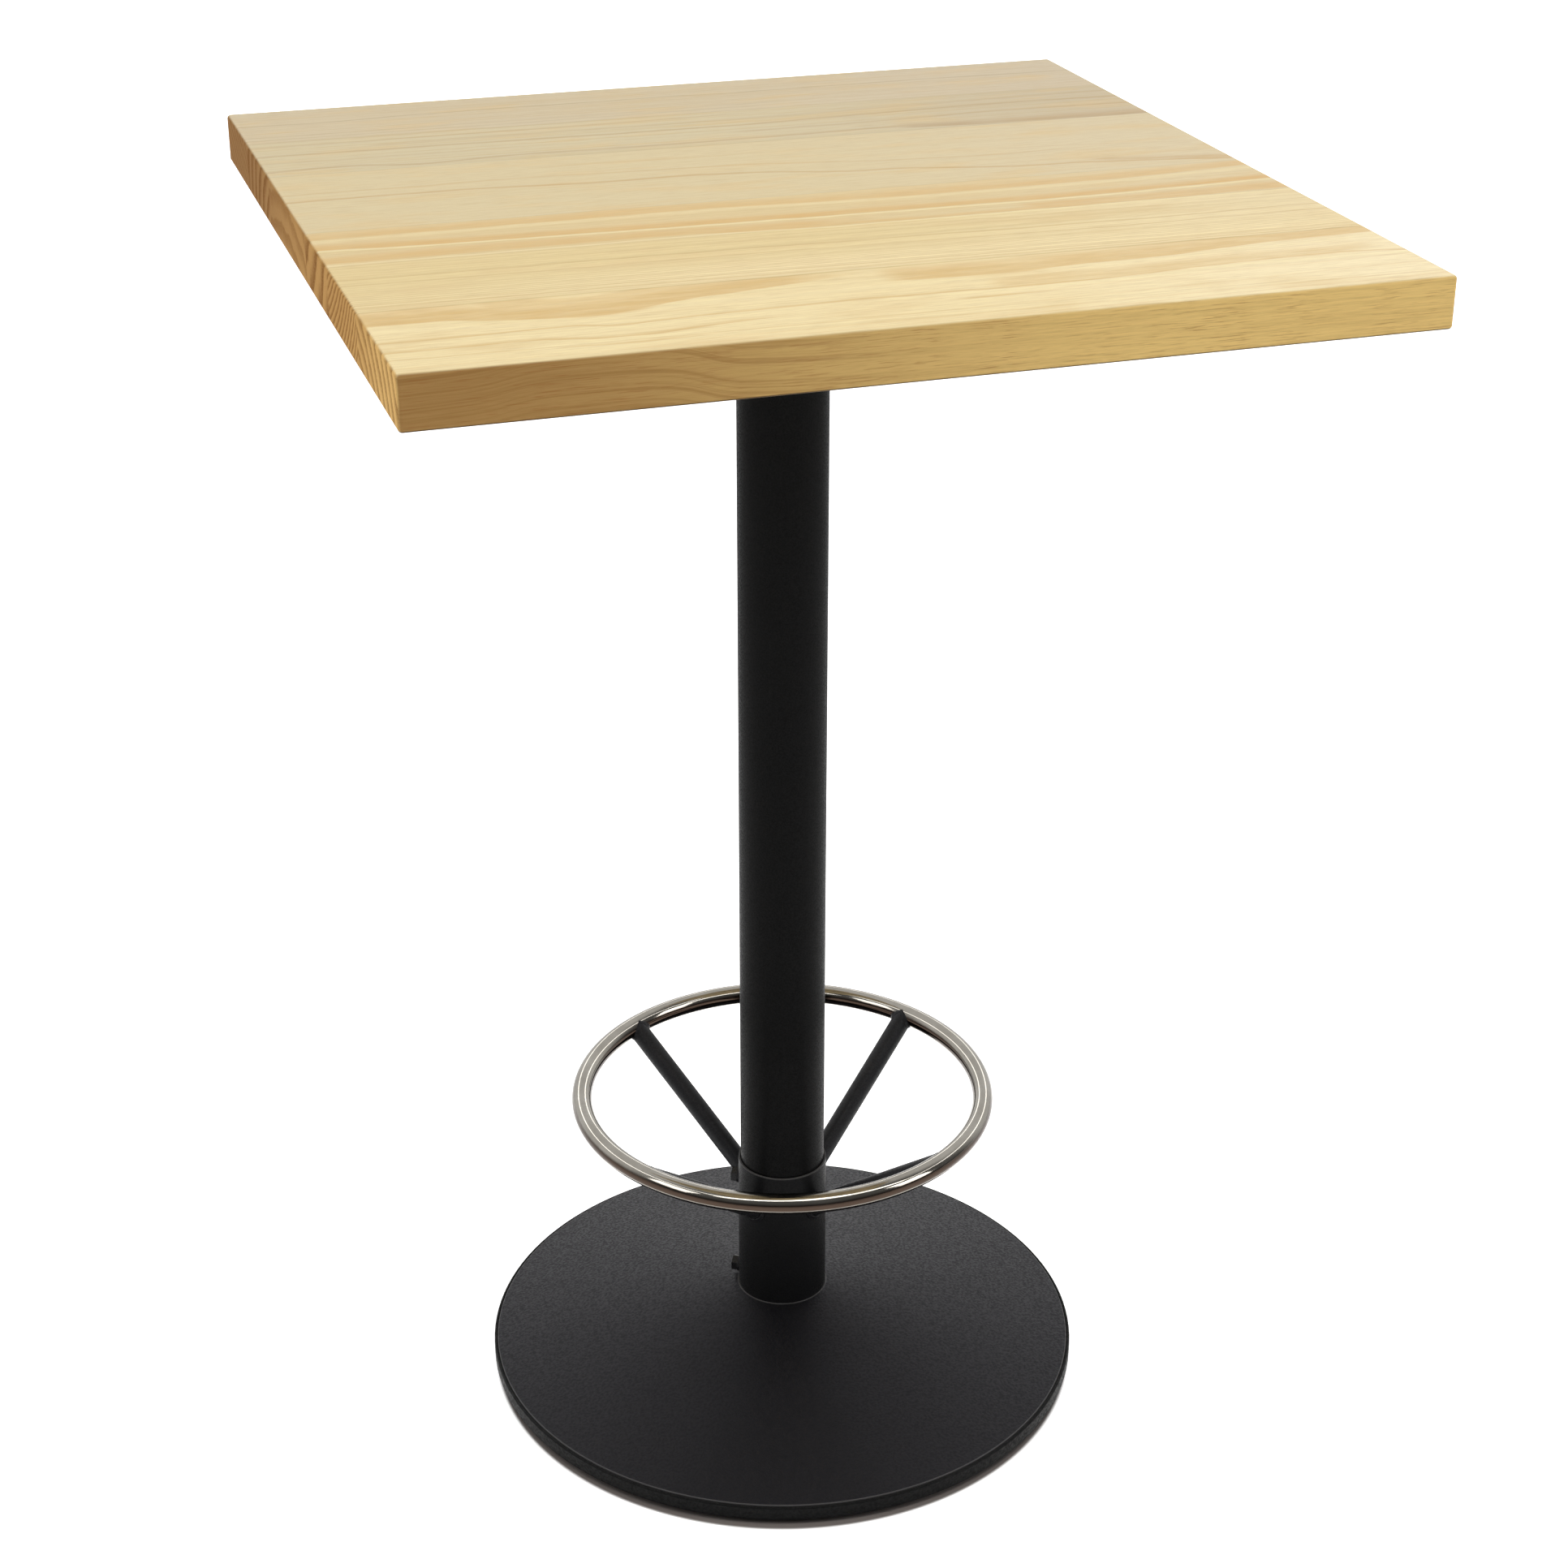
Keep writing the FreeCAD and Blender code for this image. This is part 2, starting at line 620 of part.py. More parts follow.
def make_base_cover():
    """Make the spun cover: a low cone with a flat at its neck and a turned-down edge."""
    neck_inside = COLLAR_INSIDE
    neck_outside = f"({COLLAR_INSIDE} + Sizes.neck_flat)"
    corner = f"({RIM_TOP} + Sizes.cover_stand)"
    body = turned_body(
        "base_cover",
        [
            (neck_inside, "Sizes.neck_height"),
            (neck_inside, "Sizes.neck_height - Sizes.cover_thick"),
            (neck_outside, "Sizes.neck_height - Sizes.cover_thick"),
            (f"{COVER_EDGE} - Sizes.cover_thick", f"{corner} - Sizes.cover_thick"),
            (f"{COVER_EDGE} - Sizes.cover_thick", PLATE_TOP),
            (COVER_EDGE, PLATE_TOP),
            (COVER_EDGE, corner),
            (neck_outside, "Sizes.neck_height"),
        ],
    )
    doc.recompute()
    turned = body.Tip
    body.Tip = add_rounding(
        body, "cover_corner", turned, upper_outer_edge(turned.Shape), "Sizes.cover_round"
    )
    return body


base_casting = make_base_casting()
base_cover = make_base_cover()


# Foot ring ------------------------------------------------------------------------------------


BOLTS = {"lower": "Sizes.lower_bolt", "upper": "Sizes.upper_bolt"}
BOSS_LENGTH = "(Sizes.collar_clearance + Sizes.collar_wall + Sizes.boss_height)"


def radial_cylinder(name, radius, start, length, height):
    """Make a cylinder that lies along +X at the given height, from a start radius outward."""
    cylinder = new_cylinder(
        name, radius, length, Placement__Base__x=start, Placement__Base__z=height
    )
    cylinder.Placement.Rotation = RIGHT_ANGLE
    return cylinder


def bolt_height(name):
    return f"Sizes.neck_height + {BOLTS[name]}"


def bolt_hole(prefix, name):
    """Make the threaded hole of one set bolt, from inside the collar to outside its boss."""
    return radial_cylinder(
        f"{prefix}_hole",
        "Sizes.bolt_diameter / 2 + Sizes.bolt_clearance",
        f"{COLUMN_RADIUS} - Sizes.overlap",
        f"{BOSS_LENGTH} + 2 * Sizes.overlap",
        bolt_height(name),
    )


def make_collar():
    """Make the collar: a sleeve round the column with two cross holes for the set bolts."""
    foot = {"Placement__Base__z": "Sizes.neck_height"}
    sleeve = new_cylinder("collar_sleeve", COLLAR_OUTSIDE, "Sizes.collar_height", **foot)
    inside = new_cylinder("collar_inside", COLLAR_INSIDE, "Sizes.collar_height", **foot)
    tube = cut("collar_tube", sleeve, inside)
    holes = group("collar_holes", [bolt_hole(f"collar_{name}", name) for name in BOLTS])
    return turn_about_z(cut("foot_ring_collar", tube, holes), "Sizes.bolt_azimuth")


def make_bosses():
    """Make the two threaded bosses, each hollowed to lie on the collar."""
    bosses = []
    for name in BOLTS:
        plug = radial_cylinder(
            f"{name}_boss_plug",
            "Sizes.boss_diameter / 2",
            COLUMN_RADIUS,
            BOSS_LENGTH,
            bolt_height(name),
        )
        sleeve = new_cylinder(
            f"{name}_boss_sleeve",
            COLLAR_OUTSIDE,
            "Sizes.boss_diameter * 2",
            Placement__Base__z=f"{bolt_height(name)} - Sizes.boss_diameter",
        )
        saddle = cut(f"{name}_boss_saddle", plug, sleeve)
        bosses.append(cut(f"{name}_boss", saddle, bolt_hole(f"{name}_boss", name)))
    return turn_about_z(group("set_bolt_bosses", bosses), "Sizes.bolt_azimuth")


def make_set_bolt(name):
    """Make one hexagon set bolt that presses on the column through its boss."""
    seat = f"({COLLAR_OUTSIDE} + Sizes.boss_height + Sizes.bolt_seat_gap)"
    tip = f"({COLUMN_RADIUS} + Sizes.bolt_tip_gap)"
    height = bolt_height(name)
    shank = radial_cylinder(
        f"{name}_bolt_shank", "Sizes.bolt_diameter / 2", tip, f"{seat} - {tip} + Sizes.overlap", height
    )
    head = new_prism(
        f"{name}_bolt_hexagon",
        "Sizes.bolt_flats",
        "Sizes.bolt_head",
        Placement__Base__x=seat,
        Placement__Base__z=height,
    )
    head.Placement.Rotation = RIGHT_ANGLE
    return turn_about_z(join(f"set_bolt_{name}", [head, shank]), "Sizes.bolt_azimuth")


def make_ring_tube():
    body = new_body("foot_ring_tube")
    section = new_sketch(body, "ring_section", "XZ_Plane")
    draw_circle(section, "Sizes.ring_radius", "Sizes.ring_height", "Sizes.ring_tube / 2")
    inner = "Sizes.ring_tube / 2 - Sizes.ring_wall"
    draw_circle(section, "Sizes.ring_radius", "Sizes.ring_height", inner)
    add_revolution(body, "ring_turned", section)
    return body


def make_spoke(number):
    """Make one spoke: a tube from the collar up to the ring, shaped to both at its ends."""
    label = f"foot_ring_spoke_{number}"
    low = f"(Sizes.neck_height + Sizes.spoke_root)"
    run = f"(Sizes.ring_radius - {COLLAR_OUTSIDE})"
    rise = f"(Sizes.ring_height - {low})"
    length = f"sqrt({run} * {run} + {rise} * {rise})"
    overlap = "Sizes.spoke_diameter"
    slope = {
        "Placement__Base__x": f"{COLLAR_OUTSIDE} - {overlap} * {run} / {length}",
        "Placement__Base__z": f"{low} - {overlap} * {rise} / {length}",
    }
    bars = []
    for part, radius in (
        ("outside", "Sizes.spoke_diameter / 2"),
        ("inside", "Sizes.spoke_diameter / 2 - Sizes.spoke_wall"),
    ):
        bar = new_cylinder(f"{label}_{part}", radius, f"{length} + {overlap}", **slope)
        bar.Placement.Rotation = Rotation(Vector(0, 1, 0), 1)
        bind(bar, Placement__Rotation__Angle=f"atan2({run}; {rise})")
        bars.append(bar)
    tube = cut(f"{label}_tube", *bars)
    ring = doc.addObject("Part::Torus", f"{label}_ring")
    bind(
        ring,
        Radius1="Sizes.ring_radius",
        Radius2="Sizes.ring_tube / 2",
        Placement__Base__z="Sizes.ring_height",
    )
    sleeve = new_cylinder(
        f"{label}_sleeve",
        COLLAR_OUTSIDE,
        "Sizes.collar_height",
        Placement__Base__z="Sizes.neck_height",
    )
    spoke = cut(label, tube, group(f"{label}_ends", [ring, sleeve]))
    return turn_about_z(spoke, f"Sizes.spoke_azimuth + {90 * (number - 1)}")


collar = make_collar()
bosses = make_bosses()
set_bolts = [make_set_bolt(name) for name in BOLTS]
ring_tube = make_ring_tube()
spokes = [make_spoke(quarter + 1) for quarter in QUARTERS]


# Levelling glides -----------------------------------------------------------------------------


def place_glide(body, number):
    """Put a glide's piece on the glide circle and turn it to face outward."""
    bearing = f"(Sizes.glide_azimuth + {90 * (number - 1)})"
    return bind(
        turn_about_z(body, bearing),
        Placement__Base__x=f"{GLIDE_RADIUS} * cos({bearing})",
        Placement__Base__y=f"{GLIDE_RADIUS} * sin({bearing})",
    )


def make_glide_pad(number):
    """Make the foot of a glide: a disc with a socket that holds the stem's flange."""
    socket_floor = "Sizes.flange_height - Sizes.socket_clearance"
    socket_roof = "Sizes.flange_height + Sizes.flange_thick + Sizes.socket_clearance"
    socket_side = "Sizes.flange_diameter / 2 + Sizes.socket_clearance"
    mouth = "Sizes.socket_mouth / 2"
    body = turned_body(
        f"glide_pad_{number}",
        [
            ("0", "0"),
            ("Sizes.glide_pad_diameter / 2 - Sizes.glide_pad_round", "0"),
            ("Sizes.glide_pad_diameter / 2", "Sizes.glide_pad_round"),
            ("Sizes.glide_pad_diameter / 2", "Sizes.glide_pad_thick - Sizes.glide_pad_round"),
            ("Sizes.glide_pad_diameter / 2 - Sizes.glide_pad_round", "Sizes.glide_pad_thick"),
            (mouth, "Sizes.glide_pad_thick"),
            (mouth, socket_roof),
            (socket_side, socket_roof),
            (socket_side, socket_floor),
            ("0", socket_floor),
        ],
    )
    return place_glide(body, number)


def make_glide_stem(number):
    """Make the stem of a glide: a flange in the foot and a threaded shank in the base."""
    flange_top = "Sizes.flange_height + Sizes.flange_thick"
    shank = "Sizes.stem_diameter / 2"
    body = turned_body(
        f"glide_stem_{number}",
        [
            ("0", "Sizes.flange_height"),
            ("Sizes.flange_diameter / 2", "Sizes.flange_height"),
            ("Sizes.flange_diameter / 2", flange_top),
            (shank, flange_top),
            (shank, f"{flange_top} + Sizes.stem_length - Sizes.stem_chamfer"),
            (f"{shank} - Sizes.stem_chamfer", f"{flange_top} + Sizes.stem_length"),
            ("0", f"{flange_top} + Sizes.stem_length"),
        ],
    )
    return place_glide(body, number)


glide_pads = [make_glide_pad(quarter + 1) for quarter in QUARTERS]
glide_stems = [make_glide_stem(quarter + 1) for quarter in QUARTERS]


# Checks and files -----------------------------------------------------------------------------


SUB_PARTS = [
    *boards,
    spider,
    screws,
    column,
    tie_rod,
    tie_rod_nuts,
    tie_rod_washers,
    base_casting,
    base_cover,
    collar,
    bosses,
    *set_bolts,
    ring_tube,
    *spokes,
    *glide_pads,
    *glide_stems,
]

doc.recompute()
for item in doc.Objects:
    if "Invalid" in item.State or "Error" in item.State:
        raise RuntimeError(f"{item.Label} did not recompute: {item.State}")
for item in SUB_PARTS:
    if item.Shape.isNull() or not item.Shape.isValid():
        raise RuntimeError(f"{item.Label} has no valid shape")

os.makedirs("parts", exist_ok=True)
for item in SUB_PARTS:
    item.Shape.exportStep(f"parts/{item.Label}.step")
    print(f"{item.Label}: {len(item.Shape.Solids)} solids, {item.Shape.Volume / 1000:.1f} cm3")
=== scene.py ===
import math
from collections import namedtuple

import bpy
from mathutils import Matrix, Vector


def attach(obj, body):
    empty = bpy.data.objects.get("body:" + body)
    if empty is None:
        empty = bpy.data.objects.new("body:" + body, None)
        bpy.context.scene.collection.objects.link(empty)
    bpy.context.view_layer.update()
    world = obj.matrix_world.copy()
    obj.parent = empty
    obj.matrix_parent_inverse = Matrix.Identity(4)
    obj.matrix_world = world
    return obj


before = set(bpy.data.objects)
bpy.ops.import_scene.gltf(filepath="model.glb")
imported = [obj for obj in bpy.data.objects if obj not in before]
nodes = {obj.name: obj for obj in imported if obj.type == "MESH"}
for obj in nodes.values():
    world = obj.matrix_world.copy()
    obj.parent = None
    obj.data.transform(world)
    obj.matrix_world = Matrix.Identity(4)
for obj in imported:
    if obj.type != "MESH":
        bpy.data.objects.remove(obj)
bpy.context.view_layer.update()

# Sizes of the table, in metres --------------------------------------------------------------

TOP_SIDE = 0.762
TOP_HEIGHT = 1.1
TOP_THICKNESS = 0.04
COLLAR_RADIUS = 0.0402
RING_RADIUS = 0.1815
RING_HEIGHT = 0.2705
RING_TUBE = 0.009
SPOKE_RADIUS = 0.009
SPOKE_ROOT = 0.1648
SPOKE_AZIMUTH = math.radians(32.2)
SPOKES = 4
GLIDES = 4

# Edges where a pale painted highlight is laid on the powder coat: what is followed, "radius" or
# "height", and the values at which the coat is still plain and is pale.
COVER_HIGHLIGHT_EDGES = [("radius", 0.042, 0.0413), ("radius", 0.2663, 0.2671)]
COLLAR_HIGHLIGHT_EDGES = [("height", 0.2008, 0.2017)]

# Softened edges: their widths, and the angle above which an edge is sharp.
SHEET_EDGE = 0.0007
BOLT_EDGE = 0.0004
EDGE_ANGLE = math.radians(50)

# Weld fillets: places round the spoke, steps across the fillet, its legs at the collar and at
# the ring, how far it bulges and how thick it is.
WELD_TURNS = 72
WELD_STEPS = 6
COLLAR_LEG = 0.0026
RING_LEG = 0.003
WELD_BULGE = 0.0003
WELD_THICKNESS = 0.0012

# Light, floor and camera settings, in metres ------------------------------------------------

# Lamps: name, place, the point it looks at, width, height and power in watts.
SOFTBOXES = [
    ("overhead", (0.3, -0.9, 2.8), (0.0, 0.0, 1.0), 0.8, 0.8, 7.5),
    ("left", (-2.8, -0.6, 2.0), (0.0, 0.0, 0.7), 1.2, 1.4, 20),
    ("right", (2.6, -2.0, 1.8), (0.0, 0.0, 0.7), 1.2, 1.6, 32),
    ("front_edge", (0.0, -0.468, 1.055), (0.0, -0.468, 0.0), 1.34, 0.15, 2.4),
]

# Studio light: its level in front, and the Y of the directions between which it rises to full.
# A thin bright hoop lies at one angle round a pole: its direction, the angle's cosine, the two
# distances from that cosine between which the hoop ends, and its level.
DIM_LEVEL = 0.16
LEVEL_RISE = (-0.2, 0.45)
HOOP_POLE = (0.1089, 0.3415, 0.9336)
HOOP_COSINE = 0.6794
HOOP_EDGE = (0.014, 0.03)
HOOP_LEVEL = 4.0

# Floor: half its side, what is added to a place to measure from the middle of the shadow under
# the base, the radii between which that shadow ends, the radius within which light comes
# through, and the radii between which the floor fades from reflections.
FLOOR_HALF = 14.0
SHADOW_SHIFT = (0.0028, 0.0089, 0.0)
SHADOW_EDGE = (0.2652, 0.27)
FLOOR_OPENING = 0.25
REFLECTION_FADE = (0.7, 1.9)
REFLECTION_LEFT = 0.05
FLOOR_GLOW = 0.66
SHADOW_TONE = (0.175, 0.155, 0.144, 1.0)
FLOOR_TONE = (0.95, 0.95, 0.95, 1.0)

# Camera, fitted to the photo: its place round the table, its angles in radians, and its focal
# length as a share of the frame's width.
CAMERA_AZIMUTH = -0.30899
CAMERA_DISTANCE = 2.27342
CAMERA_HEIGHT = 1.67628
CAMERA_PITCH = 0.44928
CAMERA_YAW = -0.00054
CAMERA_ROLL = 0.00125
FOCAL_SHARE = 3609.83 / 1932
SENSOR_WIDTH = 36.0


# Node graphs --------------------------------------------------------------------------------


def linear(red, green, blue):
    """Turn a display colour of 0 to 255 into the linear colour that a shader takes."""
    channels = []
    for value in (red, green, blue):
        share = value / 255
        channels.append(share / 12.92 if share <= 0.04045 else ((share + 0.055) / 1.055) ** 2.4)
    return (*channels, 1.0)


class Tree:
    """A node tree with short ways to add nodes."""

    def __init__(self, tree):
        self.tree = tree

    def node(self, kind, inputs=(), **settings):
        """Add a node, and link or set its inputs."""
        made = self.tree.nodes.new(kind)
        for key, value in settings.items():
            setattr(made, key, value)
        for key, value in dict(inputs).items():
            self.put(made.inputs[key], value)
        return made

    def put(self, socket, value):
        """Link a socket to another one, or set its value."""
        if isinstance(value, bpy.types.NodeSocket):
            self.tree.links.new(value, socket)
        else:
            socket.default_value = value

    def math(self, operation, *values):
        return self.node("ShaderNodeMath", enumerate(values), operation=operation).outputs[0]

    def add(self, first, second):
        return self.math("ADD", first, second)

    def subtract(self, first, second):
        return self.math("SUBTRACT", first, second)

    def multiply(self, *values):
        product = values[0]
        for value in values[1:]:
            product = self.math("MULTIPLY", product, value)
        return product

    def smooth(self, value, low, high, start=0.0, end=1.0):
        """Go smoothly from start to end while the value goes from low to high."""
        inputs = enumerate((value, low, high, start, end))
        made = self.node("ShaderNodeMapRange", inputs, interpolation_type="SMOOTHSTEP")
        return made.outputs[0]

    def noise(self, vector, scale, detail=3.0, roughness=0.6):
        inputs = {"Vector": vector, "Scale": scale, "Detail": detail, "Roughness": roughness}
        return self.node("ShaderNodeTexNoise", inputs).outputs["Fac"]

    def drawn_noise(self, places, rates, detail=3.0, roughness=0.6):
        """Noise that is drawn out, because each place goes by at its own rate."""
        scaled = [self.multiply(place, rate) for place, rate in zip(places, rates)]
        return self.noise(self.vector(*scaled), 1.0, detail, roughness)

    def vector(self, x, y, z=0.0):
        return self.node("ShaderNodeCombineXYZ", {"X": x, "Y": y, "Z": z}).outputs[0]

    def split(self, vector):
        """Give the X, Y and Z of a vector."""
        parts = self.node("ShaderNodeSeparateXYZ", {"Vector": vector})
        return [parts.outputs[axis] for axis in "XYZ"]

    def curve(self, value, points):
        """Follow a smooth curve through points whose two values run from 0 to 1."""
        made = self.node("ShaderNodeFloatCurve", {"Value": value})
        line = made.mapping.curves[0]
        while len(line.points) < len(points):
            line.points.new(0.5, 0.5)
        for point, (place, height) in zip(line.points, points):
            point.location = (place, height)
            point.handle_type = "AUTO_CLAMPED"
        made.mapping.update()
        return made.outputs[0]

    def mix(self, share, first, second):
        """Lay the second colour over the first by a share."""
        made = self.node("ShaderNodeMix", data_type="RGBA")
        colour_sockets = [socket for socket in made.inputs if socket.type == "RGBA"]
        self.put(made.inputs[0], share)
        self.put(colour_sockets[0], first)
        self.put(colour_sockets[1], second)
        return next(socket for socket in made.outputs if socket.type == "RGBA")

    def tint(self, share, colour, tone):
        """Lay a display colour over a colour by a share."""
        return self.mix(share, colour, linear(*tone))


class Material(Tree):
    """A material's node tree round its Principled shader."""

    def __init__(self, name):
        self.material = bpy.data.materials.new(name)
        self.material.use_nodes = True
        super().__init__(self.material.node_tree)
        self.shader = self.tree.nodes["Principled BSDF"]

    def surface(self, inputs):
        """Link or set the shader's own inputs."""
        for key, value in inputs.items():
            self.put(self.shader.inputs[key], value)

    def bump(self, height, strength, distance):
        inputs = {"Height": height, "Strength": strength, "Distance": distance}
        self.surface({"Normal": self.node("ShaderNodeBump", inputs).outputs["Normal"]})

    def place(self):
        """Give a point's place in the object, in metres."""
        return self.node("ShaderNodeTexCoord").outputs["Object"]

    def facing(self):
        """Give the X, Y and Z of the direction that the surface looks in."""
        return self.split(self.node("ShaderNodeTexCoord").outputs["Normal"])


# Pine ---------------------------------------------------------------------------------------

# Places on the wood are in millimetres from the upper face's left rear corner, with the depth
# counted down from that face.
SIDE = TOP_SIDE * 1000
THICKNESS = TOP_THICKNESS * 1000

# Late-wood bands of the upper face. Each has the path of its sharp front edge as pairs of X and
# Y, then its depth, how softly it starts behind and ends in front, its strength, and the X at
# which it fades in and out, which are 0 and 762 where it runs right across.
BANDS = [
    (
        [(0, 54), (75, 56), (150, 50), (380, 48), (430, 51), (600, 48), (762, 52)],
        (1, 2, 1.5, 0.42, 0, 762),
    ),
    ([(0, 97), (400, 96), (762, 92)], (1, 3, 2, 0.22, 0, 470)),
    ([(0, 107), (400, 106), (762, 100)], (1, 3, 2, 0.24, 0, 450)),
    ([(0, 119), (300, 118), (762, 113)], (1, 3, 2, 0.25, 0, 480)),
    ([(0, 133), (300, 132), (500, 129), (762, 121)], (2, 3, 2, 0.3, 0, 420)),
    ([(0, 150), (400, 150), (550, 146), (762, 140)], (4, 6, 2, 0.2, 100, 762)),
    (
        [(0, 164), (150, 166), (400, 171), (500, 166), (650, 160), (762, 164)],
        (2, 4, 2, 0.42, 0, 762),
    ),
    ([(0, 190), (480, 194), (560, 191), (650, 186), (762, 190)], (2, 4, 2, 0.34, 400, 762)),
    ([(0, 189), (150, 191), (762, 190)], (2, 4, 2, 0.2, 0, 200)),
    (
        [(0, 218), (60, 213), (130, 224), (200, 217), (300, 220), (420, 219), (520, 216)]
        + [(640, 226), (762, 227)],
        (3, 4, 2.5, 0.42, 0, 762),
    ),
    ([(0, 222), (520, 222), (620, 228), (762, 230)], (10, 12, 1.5, 0.52, 540, 762)),
    ([(0, 262), (240, 264), (350, 268), (762, 270)], (2, 5, 2, 0.14, 210, 380)),
    (
        [(0, 293), (200, 293), (300, 300), (360, 303), (400, 308), (450, 318), (500, 326)]
        + [(575, 332), (700, 331), (762, 336)],
        (1, 4, 1.5, 0.34, 0, 640),
    ),
    ([(0, 312), (600, 315), (710, 331), (762, 340)], (1, 3, 1.5, 0.2, 590, 740)),
    (
        [(0, 316), (125, 314), (200, 320), (240, 324), (325, 325), (380, 332), (425, 345)]
        + [(450, 350), (490, 353), (530, 363), (575, 373), (650, 380), (700, 389), (762, 400)],
        (2, 4, 2, 0.55, 0, 762),
    ),
    ([(0, 370), (640, 372), (700, 384), (762, 396)], (6, 10, 4, 0.42, 650, 762)),
    (
        [(0, 427), (100, 427), (170, 426), (280, 425), (375, 431), (475, 435), (625, 434)]
        + [(700, 429), (762, 423)],
        (12, 10, 3, 0.44, 0, 762),
    ),
    ([(0, 432), (560, 434), (700, 429), (762, 425)], (8, 6, 3, 0.3, 560, 720)),
    ([(0, 446), (125, 452), (762, 456)], (1, 3, 1.5, 0.42, 0, 130)),
    (
        [(0, 455), (50, 459.5), (100, 462.5), (175, 465), (325, 470), (500, 474), (575, 475)]
        + [(650, 473), (762, 467)],
        (9, 9, 1.5, 0.62, 0, 762),
    ),
    (
        [(0, 455.5), (100, 463), (175, 465.5), (325, 470.5), (500, 474.5), (762, 468)],
        (1.5, 1, 0.8, 0.7, 0, 420),
    ),
    (
        [(0, 494), (150, 492), (280, 494), (325, 500), (400, 501), (600, 502), (762, 499)],
        (15, 8, 2, 0.46, 0, 400),
    ),
    ([(0, 494), (500, 500), (600, 502), (700, 500), (762, 498)], (15, 8, 2, 0.44, 540, 762)),
    ([(0, 497), (400, 501), (600, 502), (762, 500)], (5, 5, 2, 0.4, 330, 620)),
    (
        [(0, 539), (100, 541), (275, 543), (425, 548), (600, 553), (762, 551)],
        (1, 2.5, 1.5, 0.5, 0, 762),
    ),
    (
        [(0, 554), (100, 556), (275, 558), (425, 562), (600, 567), (762, 566)],
        (1, 2.5, 1.5, 0.4, 0, 762),
    ),
    ([(0, 603), (200, 604), (500, 608), (762, 611)], (1, 2.5, 1.5, 0.3, 0, 762)),
    ([(0, 611), (200, 612), (500, 615), (762, 617)], (1, 2.5, 1.5, 0.34, 0, 762)),
    ([(0, 564), (762, 564)], (1.5, 1.5, 1.2, 0.42, 563, 582)),
    ([(0, 601), (762, 601)], (2, 1.5, 1.5, 0.42, 463, 474)),
    (
        [(0, 653), (50, 655), (100, 667), (130, 672), (155, 675), (175, 671), (200, 661)]
        + [(235, 653), (300, 641), (375, 626), (762, 560)],
        (26, 22, 2.5, 0.72, 0, 330),
    ),
    (
        [(0, 640), (100, 660), (155, 675), (185, 668), (230, 644), (762, 560)],
        (44, 10, 6, 0.5, 80, 225),
    ),
    (
        [(0, 655), (375, 655), (425, 658), (465, 660), (500, 655), (600, 651), (640, 645)]
        + [(675, 640), (725, 638), (762, 636)],
        (24, 18, 2.5, 0.62, 376, 762),
    ),
    (
        [(0, 696), (75, 695), (130, 693), (165, 701), (200, 697), (300, 694), (350, 692)]
        + [(425, 694), (500, 695), (560, 690), (600, 686), (630, 684), (700, 682), (762, 690)],
        (2, 4, 1.2, 0.6, 0, 762),
    ),
    ([(0, 690), (480, 690), (560, 688), (630, 682), (762, 686)], (16, 14, 5, 0.4, 440, 720)),
    (
        [(0, 717), (100, 717), (125, 721), (145, 726), (175, 726), (210, 721), (275, 714)]
        + [(762, 700)],
        (2, 6, 1.5, 0.7, 0, 260),
    ),
    ([(0, 712), (405, 712), (480, 711), (762, 711)], (2, 4, 1.5, 0.55, 405, 470)),
    ([(0, 741), (120, 738), (160, 741), (210, 739), (762, 730)], (2, 5, 1.5, 0.5, 118, 210)),
    ([(0, 733), (250, 736), (762, 721)], (1, 3, 1.5, 0.26, 0, 762)),
    ([(0, 705), (300, 707), (762, 700)], (1, 3, 1.5, 0.24, 480, 762)),
    ([(0, 747), (250, 747), (762, 745)], (1, 3, 1.5, 0.28, 200, 762)),
    ([(0, 752), (400, 757), (762, 753)], (1, 3, 1.5, 0.26, 0, 762)),
]

# The bright wood in front of a sharp edge, in the same form.
PALE_LINES = [
    (
        [(0, 460), (50, 464), (100, 467), (175, 470), (325, 475), (500, 479), (575, 480)]
        + [(650, 478), (762, 472)],
        (2, 1.5, 2, 0.62, 0, 762),
    ),
    ([(0, 500), (280, 500), (400, 506), (762, 506)], (2, 2, 2, 0.5, 0, 762)),
    ([(0, 436), (300, 433), (480, 443), (620, 443), (762, 434)], (5, 4, 5, 0.35, 0, 762)),
    ([(0, 668), (150, 683), (230, 668), (762, 668)], (4, 5, 5, 0.4, 0, 400)),
    ([(0, 662), (460, 668), (650, 655), (762, 646)], (2, 4, 4, 0.4, 380, 762)),
    (
        [(0, 702), (160, 708), (350, 699), (500, 702), (640, 691), (762, 697)],
        (3, 3, 4, 0.35, 0, 762),
    ),
    ([(0, 727), (150, 733), (280, 722), (762, 722)], (2, 2, 4, 0.4, 80, 300)),
]

# How far a band's fade reaches to each side of the X at which it fades in or out.
FADE_IN = 12
FADE_OUT = 40

